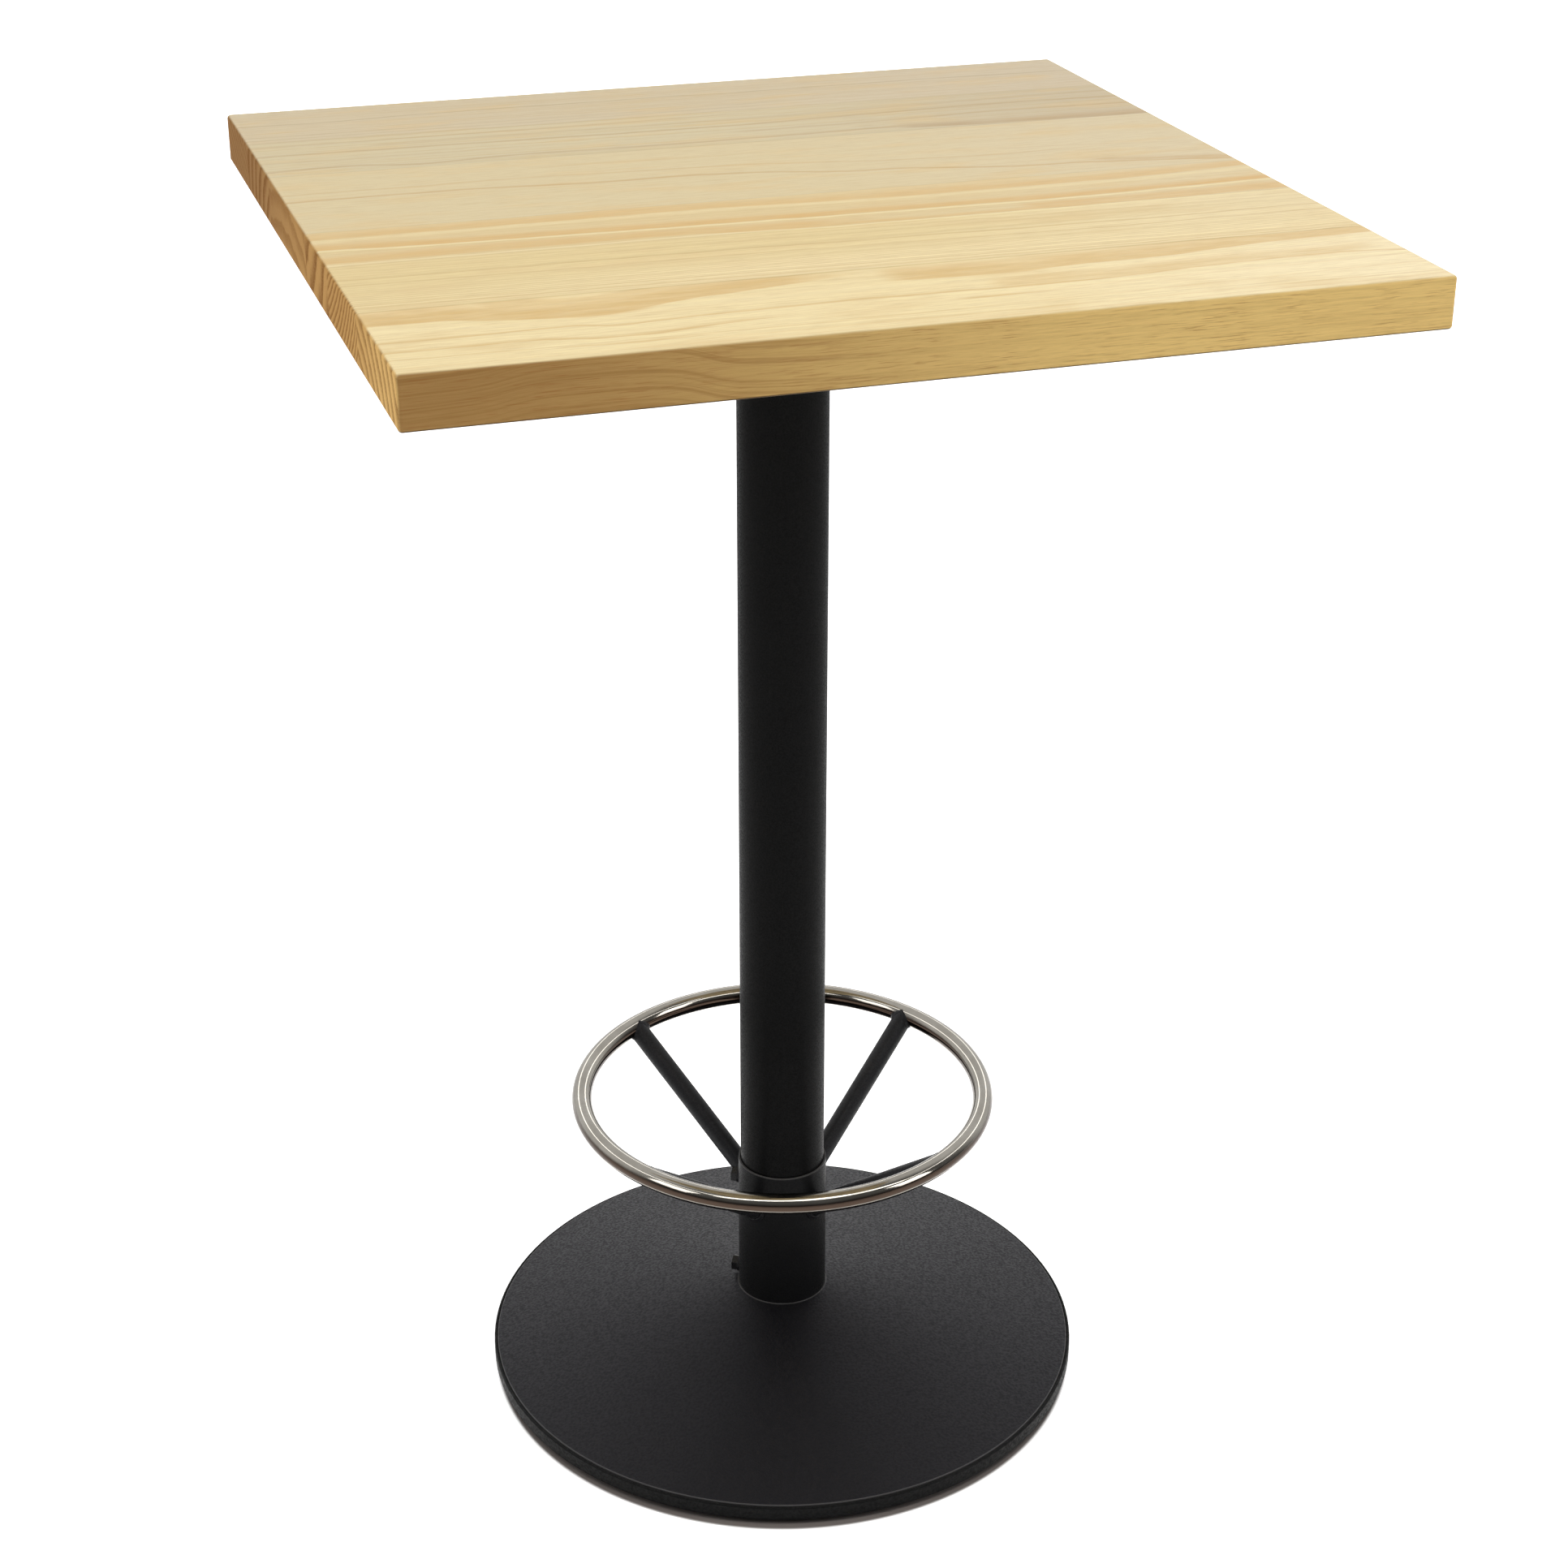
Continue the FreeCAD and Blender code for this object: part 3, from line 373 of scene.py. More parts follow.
# The boards from rear to front: the front edge, the usual tone, the tone at the right end, the
# late wood's tone and the strength of the fine stripes. On the end face, the Y and the depth of
# the heart of the rings, their spacing and their strength.
Board = namedtuple("Board", "front tone right_tone late_tone stripes heart low spacing rings")
BOARDS = [
    Board(115.5, (215, 199, 167), (214, 199, 172), (168, 144, 106), 0.3, -60, 190, 9.0, 0.55),
    Board(231.0, (216, 202, 166), (207, 192, 162), (182, 148, 108), 0.3, 256, 62, 18.6, 0.9),
    Board(407.0, (221, 204, 163), (222, 206, 171), (196, 156, 102), 0.12, 300, 240, 22.0, 0.5),
    Board(503.0, (223, 201, 152), (225, 206, 165), (218, 174, 108), 0.12, 230, -170, 26.6, 0.9),
    Board(620.0, (229, 208, 155), (236, 218, 175), (196, 162, 106), 0.3, 400, -160, 6.6, 0.85),
    Board(762.0, (239, 220, 171), (246, 230, 190), (214, 178, 116), 0.2, 586, 106, 15.0, 0.75),
]
GLUE_LINES = [board.front for board in BOARDS[:-1]]

# The fifth board alone has fine even lines and grows paler toward its front edge.
LINED_BOARD = BOARDS[4]
LINE_SPACING = 4.4
LINES_START = (540.0, 590.0)
PALER_START = (535.0, 615.0)

# How far the grain wanders across the boards, and the rings by a share of their spacing.
SWAY = 6.0
RING_SWAY = 0.7

# The long faces' bands climb over a low hill: its outline as shares of the length and of the
# height, and the height.
HILL = [(0, 0.3), (0.06, 0.34), (0.15, 0.52), (0.22, 0.5), (0.31, 0.16), (0.45, 0.06), (1, 0.02)]
HILL_HEIGHT = 40.0

# Display colours of the upper face,
WARM_PATCH = (224, 196, 144)
PALER_WOOD = (246, 228, 182)
STRIPE = (198, 170, 116)
BRIGHT_LINE = (244, 228, 182)
FIBRE = (190, 160, 112)
GLUE = (150, 118, 78)
# of the long faces, whose end tones hold a painted gradient of light,
SIDE_LEFT_SHADED = (176, 137, 83)
SIDE_RIGHT_LIT = (232, 198, 126)
SIDE_BAND = (140, 96, 50)
SIDE_FIBRE = (148, 108, 58)
SIDE_PORE = (156, 102, 58)
# of the end faces,
END_REAR = (154, 116, 73)
END_MIDDLE = (190, 147, 88)
END_FRONT = (216, 176, 110)
END_RING = (116, 70, 28)
END_SPECK = (120, 78, 38)
# and of the underside, and the painted shade on the lower arris.
BARE_WOOD = (196, 184, 160)
LOWER_ARRIS_SHADE = (60, 40, 24)


class Wood(Material):
    """The pine's node tree, with the places that its bands and rings follow."""

    def __init__(self, name):
        super().__init__(name)
        self.point = self.place()
        x, y, z = self.split(self.point)
        self.along = self.math("MULTIPLY_ADD", x, 1000.0, SIDE / 2)
        self.across = self.math("MULTIPLY_ADD", y, -1000.0, SIDE / 2)
        self.depth = self.math("MULTIPLY_ADD", z, -1000.0, TOP_HEIGHT * 1000)
        self.along_share = self.math("DIVIDE", self.along, SIDE)
        # The grain wanders a little, and more slowly along the boards than across them.
        drift = self.drawn_noise((self.along, self.across), (0.014, 0.05))
        self.wobble = self.subtract(drift, 0.5)
        self.swayed = self.math("MULTIPLY_ADD", self.wobble, SWAY, self.across)

    def pick(self, values):
        """Give each board its own value, which is a number or a colour."""
        ramp = self.node("ShaderNodeValToRGB", {"Fac": self.math("DIVIDE", self.across, SIDE)})
        ramp.color_ramp.interpolation = "CONSTANT"
        elements = ramp.color_ramp.elements
        while len(elements) < len(values):
            elements.new(0.5)
        starts = [0.0] + [glue_line / SIDE for glue_line in GLUE_LINES]
        for element, start, value in zip(elements, starts, values):
            element.position = start
            element.color = value if isinstance(value, tuple) else (value, value, value, 1.0)
        return ramp.outputs[0]

    def pick_tone(self, field):
        """Give each board its own tone."""
        return self.pick([linear(*getattr(board, field)) for board in BOARDS])

    def strongest(self, shares):
        """Join shares so that the strongest shows, each one as soon as it is made."""
        total = None
        for share in shares:
            total = share if total is None else self.math("MAXIMUM", total, share)
        return total


def crossed_glue_lines(path, rear, front):
    """The glue lines that a band would reach over, with the comparison that keeps it inside."""
    middle = sum(y for _, y in path) / len(path)
    for glue_line in GLUE_LINES:
        if glue_line < middle and min(y for _, y in path) - rear < glue_line:
            yield "GREATER_THAN", glue_line
        if glue_line > middle and max(y for _, y in path) + front > glue_line:
            yield "LESS_THAN", glue_line


def grain_band(wood, band):
    """One band: it starts softly behind its front edge and ends there, and fades at its ends."""
    path, (depth, rear_soft, front_soft, strength, start, end) = band
    points = [(x / SIDE, y / SIDE) for x, y in path]
    edge = wood.multiply(wood.curve(wood.along_share, points), SIDE)
    ahead = wood.subtract(wood.swayed, edge)
    behind = wood.smooth(ahead, -depth - rear_soft, -depth + 0.5 * rear_soft)
    before = wood.smooth(ahead, -0.3 * front_soft, front_soft, strength, 0.0)
    share = wood.multiply(behind, before)
    for side, glue_line in crossed_glue_lines(path, depth + rear_soft, front_soft):
        share = wood.multiply(share, wood.math(side, wood.swayed, glue_line))
    if start > 0:
        limits = ((start - FADE_IN) / SIDE, (start + FADE_IN) / SIDE)
        share = wood.multiply(share, wood.smooth(wood.along_share, *limits))
    if end < SIDE:
        limits = ((end - FADE_OUT) / SIDE, (end + FADE_OUT) / SIDE)
        share = wood.multiply(share, wood.smooth(wood.along_share, *limits, 1.0, 0.0))
    return share


def fine_stripes(wood):
    """Fine stripes, which differ from board to board, and the fifth board's even lines."""
    slope = wood.math("MULTIPLY_ADD", wood.along, -0.018, wood.swayed)
    streaks = wood.drawn_noise((wood.along, slope, wood.depth), (0.0012, 0.3, 0.02), 2.0)
    stripes = wood.smooth(streaks, 0.42, 0.66)
    stripes = wood.multiply(stripes, wood.pick([board.stripes for board in BOARDS]))
    waves = wood.math("SINE", wood.multiply(slope, 2 * math.pi / LINE_SPACING))
    lines = wood.multiply(
        wood.smooth(waves, 0.2, 0.95, 0.0, 0.42),
        wood.smooth(wood.across, *LINES_START),
        wood.math("LESS_THAN", wood.across, LINED_BOARD.front),
    )
    return wood.math("MAXIMUM", stripes, lines)


def upper_face(wood, late, light, stripes, fibres):
    """The upper face's colour, from the boards' tones to the glue lines."""
    clouds = wood.drawn_noise((wood.along, wood.across), (0.01, 0.035), roughness=0.5)
    usual = wood.pick_tone("tone")
    right = wood.pick_tone("right_tone")
    colour = wood.mix(wood.smooth(wood.along_share, 0.45, 1.0), usual, right)
    colour = wood.tint(wood.smooth(clouds, 0.46, 0.72, 0.0, 0.5), colour, WARM_PATCH)
    paler = wood.multiply(
        wood.smooth(wood.across, *PALER_START, 0.0, 0.75),
        wood.smooth(wood.along_share, 0.0, 0.4, 0.4, 1.0),
        wood.math("LESS_THAN", wood.across, LINED_BOARD.front),
    )
    colour = wood.tint(paler, colour, PALER_WOOD)
    colour = wood.tint(stripes, colour, STRIPE)
    colour = wood.mix(late, colour, wood.pick_tone("late_tone"))
    colour = wood.tint(light, colour, BRIGHT_LINE)
    colour = wood.tint(wood.smooth(fibres, 0.3, 0.7, 0.3, -0.19), colour, FIBRE)
    seams = []
    for glue_line in GLUE_LINES:
        away = wood.math("ABSOLUTE", wood.subtract(wood.across, glue_line))
        seams.append(wood.smooth(away, 0.0, 0.9, 0.2, 0.0))
    return wood.tint(wood.strongest(seams), colour, GLUE)


def long_face(wood, patches, fibres, pores):
    """The long faces' colour: a painted gradient of light that grows paler to the right, bands
    over a low hill near the left end, and short dark pores.
    """
    hill = wood.curve(wood.along_share, HILL)
    height = wood.math("MULTIPLY_ADD", hill, HILL_HEIGHT, wood.depth)
    streaks = wood.drawn_noise((wood.along, height, wood.across), (0.004, 0.42, 0.01))
    bands = wood.smooth(streaks, 0.42, 0.66)
    band_fade = wood.smooth(wood.along_share, 0.28, 0.5, 0.4, 0.12)
    # Painted light: the long faces run from a shaded tone at the left end to a lit tone at the
    # right.
    painted_light_to_right = wood.smooth(wood.along_share, 0.02, 0.72)
    colour = wood.mix(painted_light_to_right, linear(*SIDE_LEFT_SHADED), linear(*SIDE_RIGHT_LIT))
    colour = wood.tint(wood.multiply(bands, band_fade), colour, SIDE_BAND)
    colour = wood.tint(wood.smooth(fibres, 0.3, 0.72, 0.16, -0.08), colour, SIDE_FIBRE)
    pore_share = wood.multiply(pores, wood.smooth(patches, 0.4, 0.6, 0.12, 0.5))
    return wood.tint(pore_share, colour, SIDE_PORE)


def growth_rings(wood):
    """Each board's rings on the end face, round its own heart."""
    rear = 0.0
    for board in BOARDS:
        out = wood.math("POWER", wood.subtract(wood.across, board.heart), 2.0)
        down = wood.math("POWER", wood.subtract(wood.depth, board.low), 2.0)
        distance = wood.math("SQRT", wood.add(out, down))
        uneven = wood.math("MULTIPLY_ADD", wood.wobble, board.spacing * RING_SWAY, distance)
        turn = wood.math("FRACT", wood.math("DIVIDE", uneven, board.spacing))
        behind = wood.math("GREATER_THAN", wood.across, rear)
        before = wood.math("LESS_THAN", wood.across, board.front)
        inside = wood.multiply(behind, before)
        rise = wood.smooth(turn, 0.2, 0.8)
        fall = wood.smooth(turn, 0.86, 1.0, board.rings, 0.0)
        yield wood.multiply(rise, fall, inside)
        rear = board.front


def end_face(wood):
    """The end faces' colour: rings round each board's own heart, and fine specks."""
    specks = wood.noise(wood.point, 620.0, roughness=0.65)
    ring_share = wood.multiply(
        wood.strongest(growth_rings(wood)), wood.smooth(specks, 0.25, 0.75, 0.5, 1.0)
    )
    to_middle = wood.smooth(wood.across, 60.0, 600.0)
    colour = wood.mix(to_middle, linear(*END_REAR), linear(*END_MIDDLE))
    colour = wood.tint(wood.smooth(wood.across, 550.0, 735.0), colour, END_FRONT)
    colour = wood.tint(ring_share, colour, END_RING)
    return wood.tint(wood.smooth(specks, 0.5, 0.8, 0.0, 0.3), colour, END_SPECK)


def make_pine():
    """Pine boards with the grain along X, bands on the faces and rings on the ends."""
    wood = Wood("lacquered_pine")
    late = wood.strongest(grain_band(wood, band) for band in BANDS)
    patches = wood.drawn_noise((wood.along, wood.across), (0.02, 0.12))
    late = wood.multiply(late, wood.smooth(patches, 0.2, 0.7, 0.66, 1.2))
    light = wood.strongest(grain_band(wood, line) for line in PALE_LINES)
    stripes = fine_stripes(wood)
    places = (wood.along, wood.across, wood.depth)
    fibres = wood.drawn_noise(places, (0.04, 0.95, 0.95), roughness=0.65)
    pores = wood.smooth(wood.drawn_noise(places, (0.04, 1.2, 1.2), 2.0), 0.56, 0.66)

    upper_colour = upper_face(wood, late, light, stripes, fibres)
    side_colour = long_face(wood, patches, fibres, pores)
    end_colour = end_face(wood)

    # Pick the face by the direction it looks in.
    facing_x, facing_y, facing_z = wood.facing()
    sideways = wood.smooth(wood.math("ABSOLUTE", facing_y), 0.35, 0.9)
    endways = wood.smooth(wood.math("ABSOLUTE", facing_x), 0.35, 0.9)
    colour = wood.mix(sideways, upper_colour, side_colour)
    colour = wood.mix(endways, colour, end_colour)
    colour = wood.tint(wood.smooth(facing_z, -0.9, -0.6, 0.45, 0.0), colour, BARE_WOOD)
    # Painted shade darkens the lower arris, which faces away from the light.
    painted_arris_shade = wood.multiply(
        wood.smooth(wood.depth, THICKNESS - 2.0, THICKNESS - 1.1, 0.0, 0.85),
        wood.smooth(wood.math("ABSOLUTE", facing_z), 0.9, 0.98, 1.0, 0.0),
    )
    colour = wood.tint(painted_arris_shade, colour, LOWER_ARRIS_SHADE)

    # Satin lacquer, and duller end grain.
    satin = wood.smooth(fibres, 0.2, 0.8, 0.42, 0.54)
    dullness = wood.math("MULTIPLY_ADD", endways, 0.42, satin)
    wood.surface({"Base Color": colour, "Roughness": dullness, "Specular IOR Level": 0.03})
    wood.bump(fibres, 0.1, 0.0003)
    return wood.material


# Painted and bare metal, nylon --------------------------------------------------------------

WHITE = (1.0, 1.0, 1.0, 1.0)
COOL_SHEEN = (0.93, 0.9, 1.0, 1.0)
# The tone and share of the pale painted highlight along edges.
EDGE_HIGHLIGHT_TONE = (88, 87, 86)
EDGE_HIGHLIGHT_SHARE = 0.6


def make_powder_coat(name, tone, roughness, level, relief, fineness, edges=(), sheen=WHITE):
    """Matte black powder coat with a fine pebbled skin, and a pale painted highlight along the
    given edges.

    The tone is a display colour and the level the shader's specular one. Relief is the
    pebbles' strength and fineness their scale.
    """
    graph = Material(name)
    place = graph.place()
    x, y, z = graph.split(place)
    pebbles = graph.noise(place, fineness)
    clouds = graph.noise(place, 22.0)
    specks = graph.smooth(pebbles, 0.3, 0.7)
    shade = graph.math("MULTIPLY_ADD", clouds, 0.3, graph.multiply(specks, 0.7))
    darker = linear(*(max(channel - 6, 1) for channel in tone))
    paler = linear(*(channel + 7 for channel in tone))
    colour = graph.mix(shade, darker, paler)
    radius = graph.math("SQRT", graph.add(graph.multiply(x, x), graph.multiply(y, y)))
    # Paint a pale highlight along each given edge.
    for kind, plain, pale in edges:
        followed = radius if kind == "radius" else z
        shares = (0.0, EDGE_HIGHLIGHT_SHARE) if plain < pale else (EDGE_HIGHLIGHT_SHARE, 0.0)
        painted_edge_highlight = graph.smooth(followed, min(plain, pale), max(plain, pale), *shares)
        colour = graph.tint(painted_edge_highlight, colour, EDGE_HIGHLIGHT_TONE)
    dullness = graph.smooth(specks, 0.0, 1.0, roughness + 0.14, roughness - 0.1)
    graph.surface({"Base Color": colour, "Roughness": dullness})
    graph.surface({"Specular IOR Level": level, "Specular Tint": sheen})
    graph.bump(pebbles, relief, 0.0003)
    return graph.material


def make_polished_steel():
    """Polished stainless tube, bright on its crown and underneath, with a painted dark reflection
    in a band along its sides.
    """
    graph = Material("polished_steel")
    place = graph.place()
    smears = graph.noise(place, 26.0)
    scratches = graph.noise(place, 300.0, 2.0)
    _, _, facing_up = graph.facing()
    tilt = graph.math("MULTIPLY_ADD", smears, 0.1, facing_up)
    # A dark reflection is painted as a band along the tube's sides, between its underside and its
    # crown.
    dark_reflection_above_bottom = graph.smooth(tilt, -0.3, -0.12)
    dark_reflection_below_crown = graph.smooth(tilt, 0.34, 0.66, 1.0, 0.0)
    bright = graph.mix(smears, linear(132, 127, 118), linear(172, 168, 160))
    colour = graph.tint(graph.multiply(dark_reflection_above_bottom, dark_reflection_below_crown), bright, (70, 58, 50))
    roughness = graph.math("MULTIPLY_ADD", smears, 0.08, 0.06)
    graph.surface({"Base Color": colour, "Metallic": 1.0, "Roughness": roughness})
    graph.bump(scratches, 0.06, 0.0003)
    return graph.material


def make_zinc():
    """Zinc plate: pale grey with soft cloudy patches."""
    graph = Material("zinc_plate")
    patches = graph.noise(graph.place(), 160.0, 4.0, 0.65)
    colour = graph.mix(patches, linear(160, 162, 164), linear(208, 210, 212))
    roughness = graph.math("MULTIPLY_ADD", patches, 0.2, 0.28)
    graph.surface({"Base Color": colour, "Metallic": 1.0, "Roughness": roughness})
    graph.bump(patches, 0.05, 0.0002)
    return graph.material


def make_nylon():
    """Black nylon with fine scuffs."""
    graph = Material("black_nylon")
    scuffs = graph.noise(graph.place(), 240.0, 4.0, 0.7)
    colour = graph.mix(scuffs, linear(22, 22, 23), linear(40, 40, 42))
    roughness = graph.math("MULTIPLY_ADD", scuffs, 0.2, 0.42)
    graph.surface({"Base Color": colour, "Roughness": roughness})
    graph.bump(scuffs, 0.08, 0.0002)
    return graph.material


def dress(material, *names):
    """Give CAD nodes one material."""
    for name in names:
        mesh = nodes[name].data
        mesh.materials.clear()
        mesh.materials.append(material)


def numbered(name, count):
    """The names of like nodes, which are numbered from one."""
    return [f"{name}_{number}" for number in range(1, count + 1)]


black_column = make_powder_coat(
    "black_column_coat", (13, 13, 13), roughness=0.42, level=0.045, relief=0.2, fineness=750.0
)
black_steel = make_powder_coat(
    "black_trim_coat", (29, 29, 31), roughness=0.42, level=0.18, relief=0.4, fineness=650.0
)
black_cover = make_powder_coat(
    "black_cover_coat",
    (6, 6, 8),
    roughness=0.46,
    level=0.225,
    relief=1.0,
    fineness=420.0,
    edges=COVER_HIGHLIGHT_EDGES,
    sheen=COOL_SHEEN,
)
black_collar = make_powder_coat(
    "black_collar_coat",
    (15, 15, 16),
    roughness=0.42,
    level=0.09,
    relief=0.25,
    fineness=750.0,
    edges=COLLAR_HIGHLIGHT_EDGES,
)
black_bolt = make_powder_coat(
    "black_bolt_coat", (20, 20, 21), roughness=0.34, level=0.3, relief=0.25, fineness=750.0
)
black_casting = make_powder_coat(
    "black_casting_coat", (13, 13, 13), roughness=0.5, level=0.08, relief=0.6, fineness=420.0
)
black_iron = make_powder_coat(
    "black_cast_iron", (20, 20, 21), roughness=0.58, level=0.22, relief=0.6, fineness=420.0
)
zinc = make_zinc()

dress(make_pine(), *numbered("top_board", len(BOARDS)))
dress(black_iron, "top_spider")
dress(black_column, "column_tube")
dress(black_cover, "base_cover")
dress(black_casting, "base_casting")
dress(zinc, "spider_screws", "tie_rod", "tie_rod_nuts", "tie_rod_washers")
dress(zinc, *numbered("glide_stem", GLIDES))
dress(make_nylon(), *numbered("glide_pad", GLIDES))
dress(black_collar, "foot_ring_collar")
dress(black_steel, "set_bolt_bosses")
dress(black_bolt, "set_bolt_lower", "set_bolt_upper")
dress(black_steel, *numbered("foot_ring_spoke", SPOKES))
dress(make_polished_steel(), "foot_ring_tube")


def soften(width, *names):
    """Round the sharp edges of CAD nodes by a small width."""
    for name in names:
        bevel = nodes[name].modifiers.new("soft_edges", "BEVEL")
        bevel.width = width
        bevel.segments = 2
        bevel.limit_method = "ANGLE"
        bevel.angle_limit = EDGE_ANGLE


soften(SHEET_EDGE, "foot_ring_collar", "base_cover")
soften(BOLT_EDGE, "set_bolt_lower", "set_bolt_upper")


# Weld fillets -------------------------------------------------------------------------------


def first_touch(start, direction, clearance, reach):
    """Walk along a line and stop where it meets a surface, or at its end."""
    low = 0.0
    step = reach / 80
    while low + step < reach and clearance(start + direction * (low + step)) > 0:
        low += step
    high = min(low + step, reach)
    for _ in range(16):
        middle = (low + high) / 2
        if clearance(start + direction * middle) > 0:
            low = middle
        else:
            high = middle
    return start + direction * low


def collar_clearance(point):
    """How far a point is outside the collar."""
    return math.hypot(point.x, point.y) - COLLAR_RADIUS


def collar_point(point):
    """The point of the collar's surface that is nearest to a point."""
    out = COLLAR_RADIUS / math.hypot(point.x, point.y)
    return Vector((point.x * out, point.y * out, point.z))


def ring_heart(point):
    """The point of the ring's centre line that is nearest to a point."""
    out = RING_RADIUS / math.hypot(point.x, point.y)
    return Vector((point.x * out, point.y * out, RING_HEIGHT))


def ring_clearance(point):
    """How far a point is outside the ring's tube."""
    return (point - ring_heart(point)).length - RING_TUBE


def ring_point(point):
    """The point of the ring's surface that is nearest to a point."""
    heart = ring_heart(point)
    return heart + (point - heart).normalized() * RING_TUBE


def weld(name, middle, axis, across, above, reach, clearance, nearest, leg):
    """Blend a spoke's end into what it meets, with a hollow fillet that has faint ripples."""
    vertices = []
    for index in range(WELD_TURNS):
        turn = 2 * math.pi * index / WELD_TURNS
        outward = math.cos(turn) * across + math.sin(turn) * above
        touch = first_touch(middle + SPOKE_RADIUS * outward, axis, clearance, reach)
        size = leg * (1 + 0.09 * math.sin(turn * 13) + 0.06 * math.sin(turn * 29 + 1))
        spoke_toe = touch - axis * size
        far_toe = nearest(touch + outward * size * 0.8 + axis * size * 0.25)
        corner = touch.lerp((spoke_toe + far_toe) / 2, 0.25)
        for step in range(WELD_STEPS + 1):
            share = step / WELD_STEPS
            near = spoke_toe.lerp(corner, share)
            far = corner.lerp(far_toe, share)
            bulge = WELD_BULGE * math.sin(math.pi * share)
            vertices.append(near.lerp(far, share) + outward * bulge)
    faces = []
    row = WELD_STEPS + 1
    for index in range(WELD_TURNS):
        here = index * row
        there = (index + 1) % WELD_TURNS * row
        for step in range(WELD_STEPS):
            faces.append((here + step, there + step, there + step + 1, here + step + 1))
    mesh = bpy.data.meshes.new(name)
    mesh.from_pydata(vertices, [], faces)
    mesh.polygons.foreach_set("use_smooth", [True] * len(faces))
    mesh.materials.append(black_steel)
    fillet = bpy.data.objects.new(name, mesh)
    bpy.context.scene.collection.objects.link(fillet)
    body = fillet.modifiers.new("body", "SOLIDIFY")
    body.thickness = WELD_THICKNESS
    body.offset = -1
    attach(fillet, "foot_ring")


def weld_spoke(index):
    """Weld one spoke to the collar and to the ring."""
    azimuth = SPOKE_AZIMUTH + index * 2 * math.pi / SPOKES
    radial = Vector((math.cos(azimuth), math.sin(azimuth), 0))
    low = radial * COLLAR_RADIUS + Vector((0, 0, SPOKE_ROOT))
    high = radial * RING_RADIUS + Vector((0, 0, RING_HEIGHT))
    axis = (high - low).normalized()
    across = Vector((0, 0, 1)).cross(radial).normalized()
    above = axis.cross(across).normalized()
    middle = (low + high) / 2
    half = (high - low).length / 2
    foot = (f"weld_collar_{index + 1}", middle, -axis, across, above, half + SPOKE_RADIUS)
    weld(*foot, collar_clearance, collar_point, COLLAR_LEG)
    head = (f"weld_ring_{index + 1}", middle, axis, across, above, half)
    weld(*head, ring_clearance, ring_point, RING_LEG)


for spoke in range(SPOKES):
    weld_spoke(spoke)


# Floor, light and camera --------------------------------------------------------------------


def background_rays(graph, fade):
    """One for camera rays, and the fade for glossy and transmission rays."""
    path = graph.node("ShaderNodeLightPath").outputs
    shown = path["Is Camera Ray"]
    for kind in ("Is Glossy Ray", "Is Transmission Ray"):
        shown = graph.math("MAXIMUM", shown, graph.multiply(path[kind], fade))
    return shown


def make_floor():
    """A wide pale floor that keeps the table's shadow and shows white elsewhere.

    It shows its upper side only, and lets light through under the base.
    """
    half = FLOOR_HALF
    corners = [(-half, -half, 0), (half, -half, 0), (half, half, 0), (-half, half, 0)]
    mesh = bpy.data.meshes.new("floor")
    mesh.from_pydata(corners, [], [(0, 1, 2, 3)])
    floor = bpy.data.objects.new("floor", mesh)
    bpy.context.scene.collection.objects.link(floor)
    material = bpy.data.materials.new("floor_white")
    material.use_nodes = True
    mesh.materials.append(material)
    graph = Tree(material.node_tree)
    graph.tree.nodes.clear()

    place = graph.node("ShaderNodeTexCoord").outputs["Object"]
    shifted = graph.node("ShaderNodeVectorMath", {0: place, 1: SHADOW_SHIFT}, operation="ADD")
    length = graph.node("ShaderNodeVectorMath", {0: shifted.outputs[0]}, operation="LENGTH")
    distance = length.outputs["Value"]
    colour = graph.mix(graph.smooth(distance, *SHADOW_EDGE), SHADOW_TONE, FLOOR_TONE)
    diffuse = graph.node("ShaderNodeBsdfDiffuse", {"Color": colour})
    fade = graph.smooth(distance, *REFLECTION_FADE, 1.0, REFLECTION_LEFT)
    gain = graph.smooth(distance, *SHADOW_EDGE, 0.0, FLOOR_GLOW)
    strength = graph.multiply(gain, background_rays(graph, fade))
    glow = graph.node("ShaderNodeEmission", {"Strength": strength})
    lit = graph.node("ShaderNodeAddShader", {0: diffuse.outputs[0], 1: glow.outputs[0]})

    below = graph.node("ShaderNodeNewGeometry").outputs["Backfacing"]
    opening = graph.math("LESS_THAN", distance, FLOOR_OPENING)
    clear_share = graph.math("MAXIMUM", below, opening)
    clear = graph.node("ShaderNodeBsdfTransparent")
    shaders = {0: clear_share, 1: lit.outputs[0], 2: clear.outputs[0]}
    surface = graph.node("ShaderNodeMixShader", shaders)
    graph.node("ShaderNodeOutputMaterial", {"Surface": surface.outputs[0]})


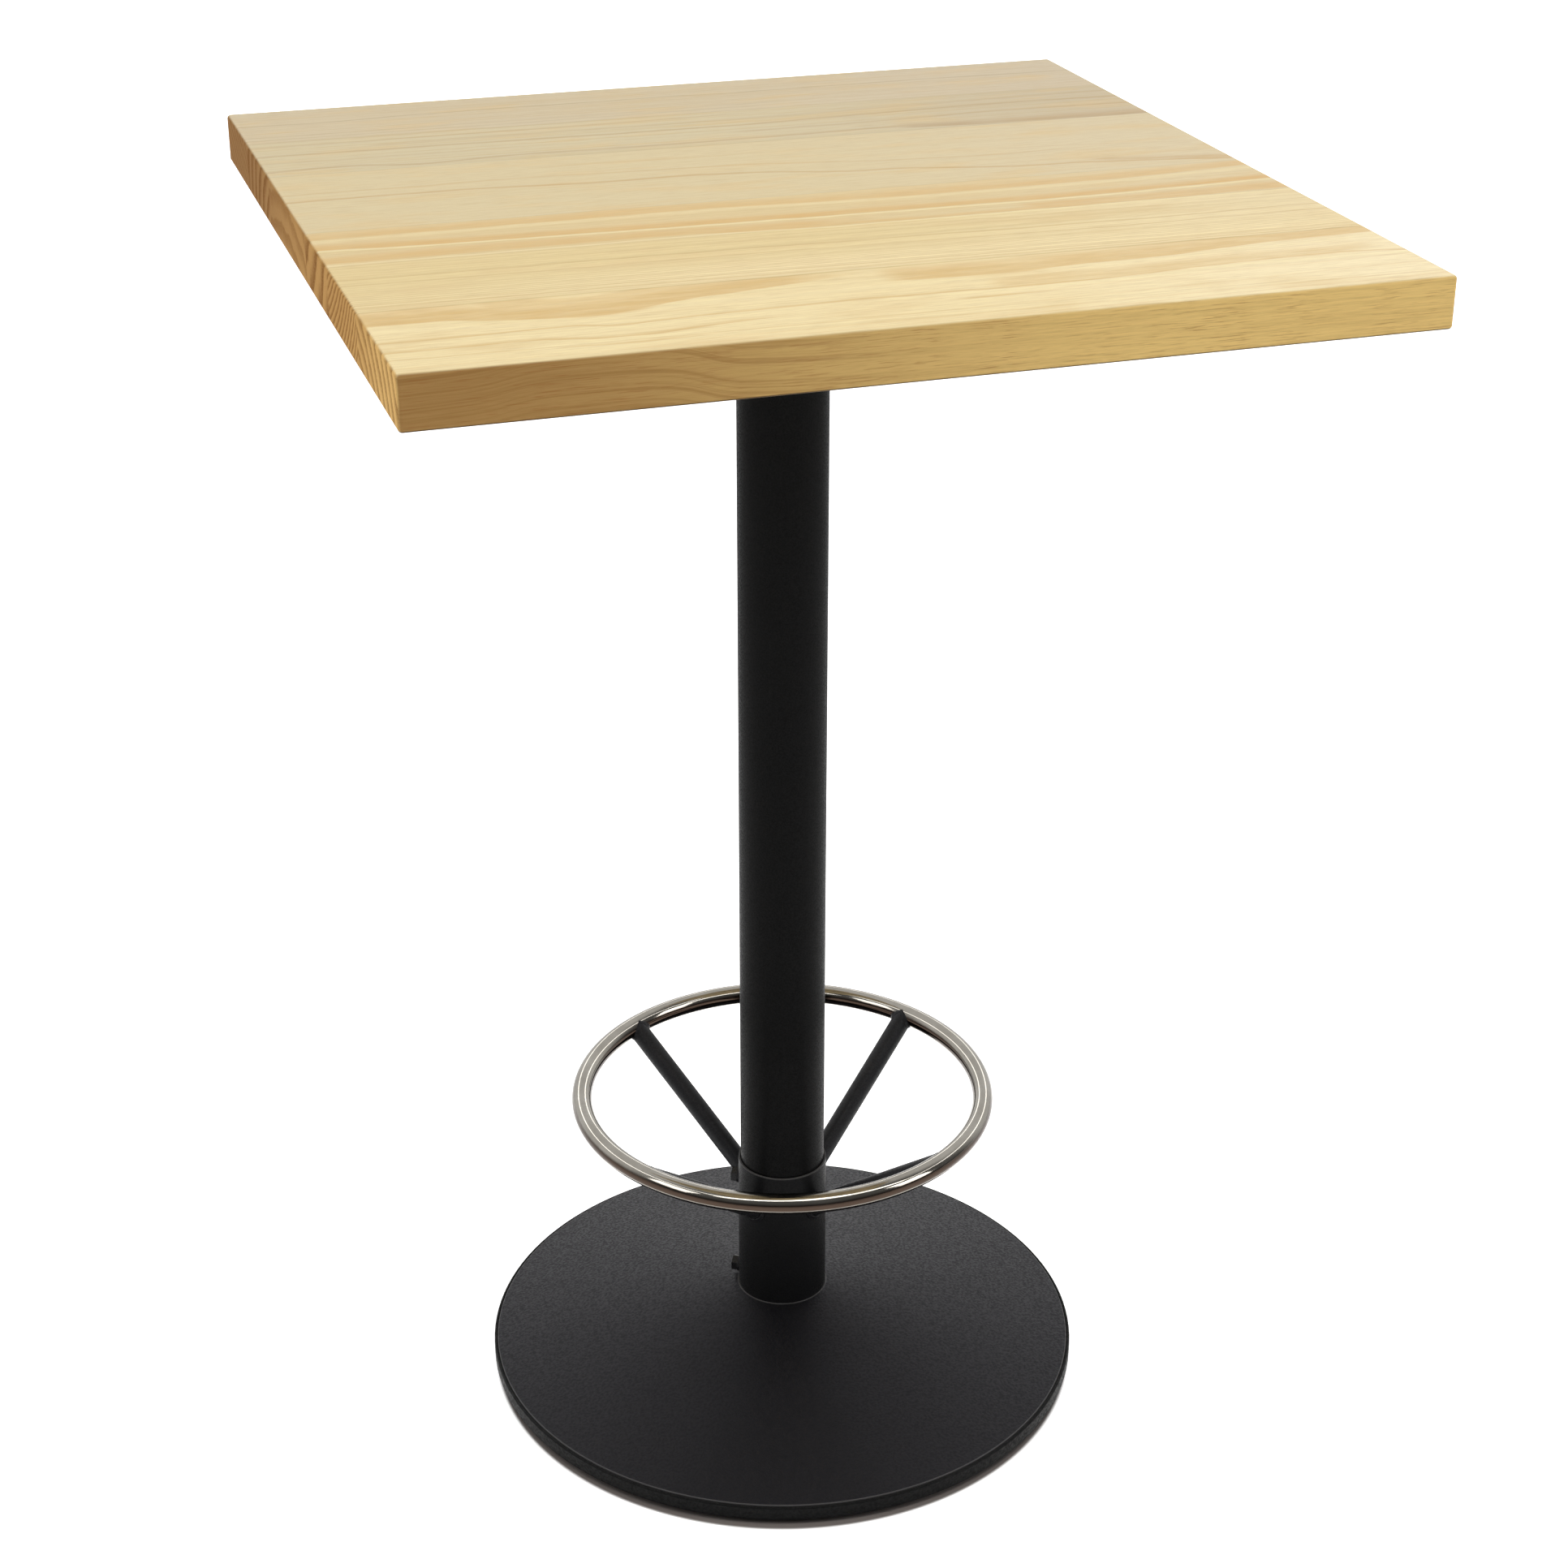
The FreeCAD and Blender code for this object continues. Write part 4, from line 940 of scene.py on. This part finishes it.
def make_world():
    """White to the camera, and otherwise a studio that is dim in front and bright behind.

    The hoop gives the foot ring its fine bright lines.
    """
    world = bpy.data.worlds.new("studio")
    bpy.context.scene.world = world
    world.use_nodes = True
    graph = Tree(world.node_tree)
    direction = graph.node("ShaderNodeTexCoord").outputs["Generated"]
    _, rearward, _ = graph.split(direction)
    level = graph.smooth(rearward, *LEVEL_RISE, DIM_LEVEL, 1.0)
    vectors = {0: direction, 1: HOOP_POLE}
    cosine = graph.node("ShaderNodeVectorMath", vectors, operation="DOT_PRODUCT").outputs["Value"]
    away = graph.math("ABSOLUTE", graph.subtract(cosine, HOOP_COSINE))
    hoop = graph.smooth(away, *HOOP_EDGE, HOOP_LEVEL, 0.0)
    seen = graph.node("ShaderNodeLightPath").outputs["Is Camera Ray"]
    sky = graph.tree.nodes["Background"]
    graph.put(sky.inputs["Color"], WHITE)
    graph.put(sky.inputs["Strength"], graph.math("MAXIMUM", graph.add(level, hoop), seen))


def add_softbox(name, place, aim, width, height, power):
    """Add a rectangular lamp that looks at a point."""
    lamp = bpy.data.lights.new(name, "AREA")
    lamp.shape = "RECTANGLE"
    lamp.size = width
    lamp.size_y = height
    lamp.energy = power
    holder = bpy.data.objects.new(name, lamp)
    holder.location = place
    direction = Vector(aim) - Vector(place)
    holder.rotation_euler = direction.to_track_quat("-Z", "Y").to_euler()
    holder.visible_camera = False
    bpy.context.scene.collection.objects.link(holder)


def add_camera():
    """Place the camera where the photograph was taken from."""
    data = bpy.data.cameras.new("camera")
    data.sensor_width = SENSOR_WIDTH
    data.lens = SENSOR_WIDTH * FOCAL_SHARE
    camera = bpy.data.objects.new("camera", data)
    bpy.context.scene.collection.objects.link(camera)
    bpy.context.scene.camera = camera
    sine = math.sin(CAMERA_AZIMUTH)
    cosine = math.cos(CAMERA_AZIMUTH)
    place = Vector((CAMERA_DISTANCE * sine, -CAMERA_DISTANCE * cosine, CAMERA_HEIGHT))
    ahead = Matrix.Rotation(CAMERA_YAW, 3, "Z") @ Vector((-sine, cosine, 0))
    right = Vector((ahead.y, -ahead.x, 0))
    look = ahead * math.cos(CAMERA_PITCH) - Vector((0, 0, math.sin(CAMERA_PITCH)))
    up = right.cross(look)
    level_right = math.cos(CAMERA_ROLL) * right + math.sin(CAMERA_ROLL) * up
    level_up = math.cos(CAMERA_ROLL) * up - math.sin(CAMERA_ROLL) * right
    turn = Matrix((level_right, level_up, -look)).transposed().to_4x4()
    camera.matrix_world = Matrix.Translation(place) @ turn


make_floor()
make_world()
for softbox in SOFTBOXES:
    add_softbox(*softbox)
add_camera()
bpy.context.scene.view_settings.view_transform = "Standard"
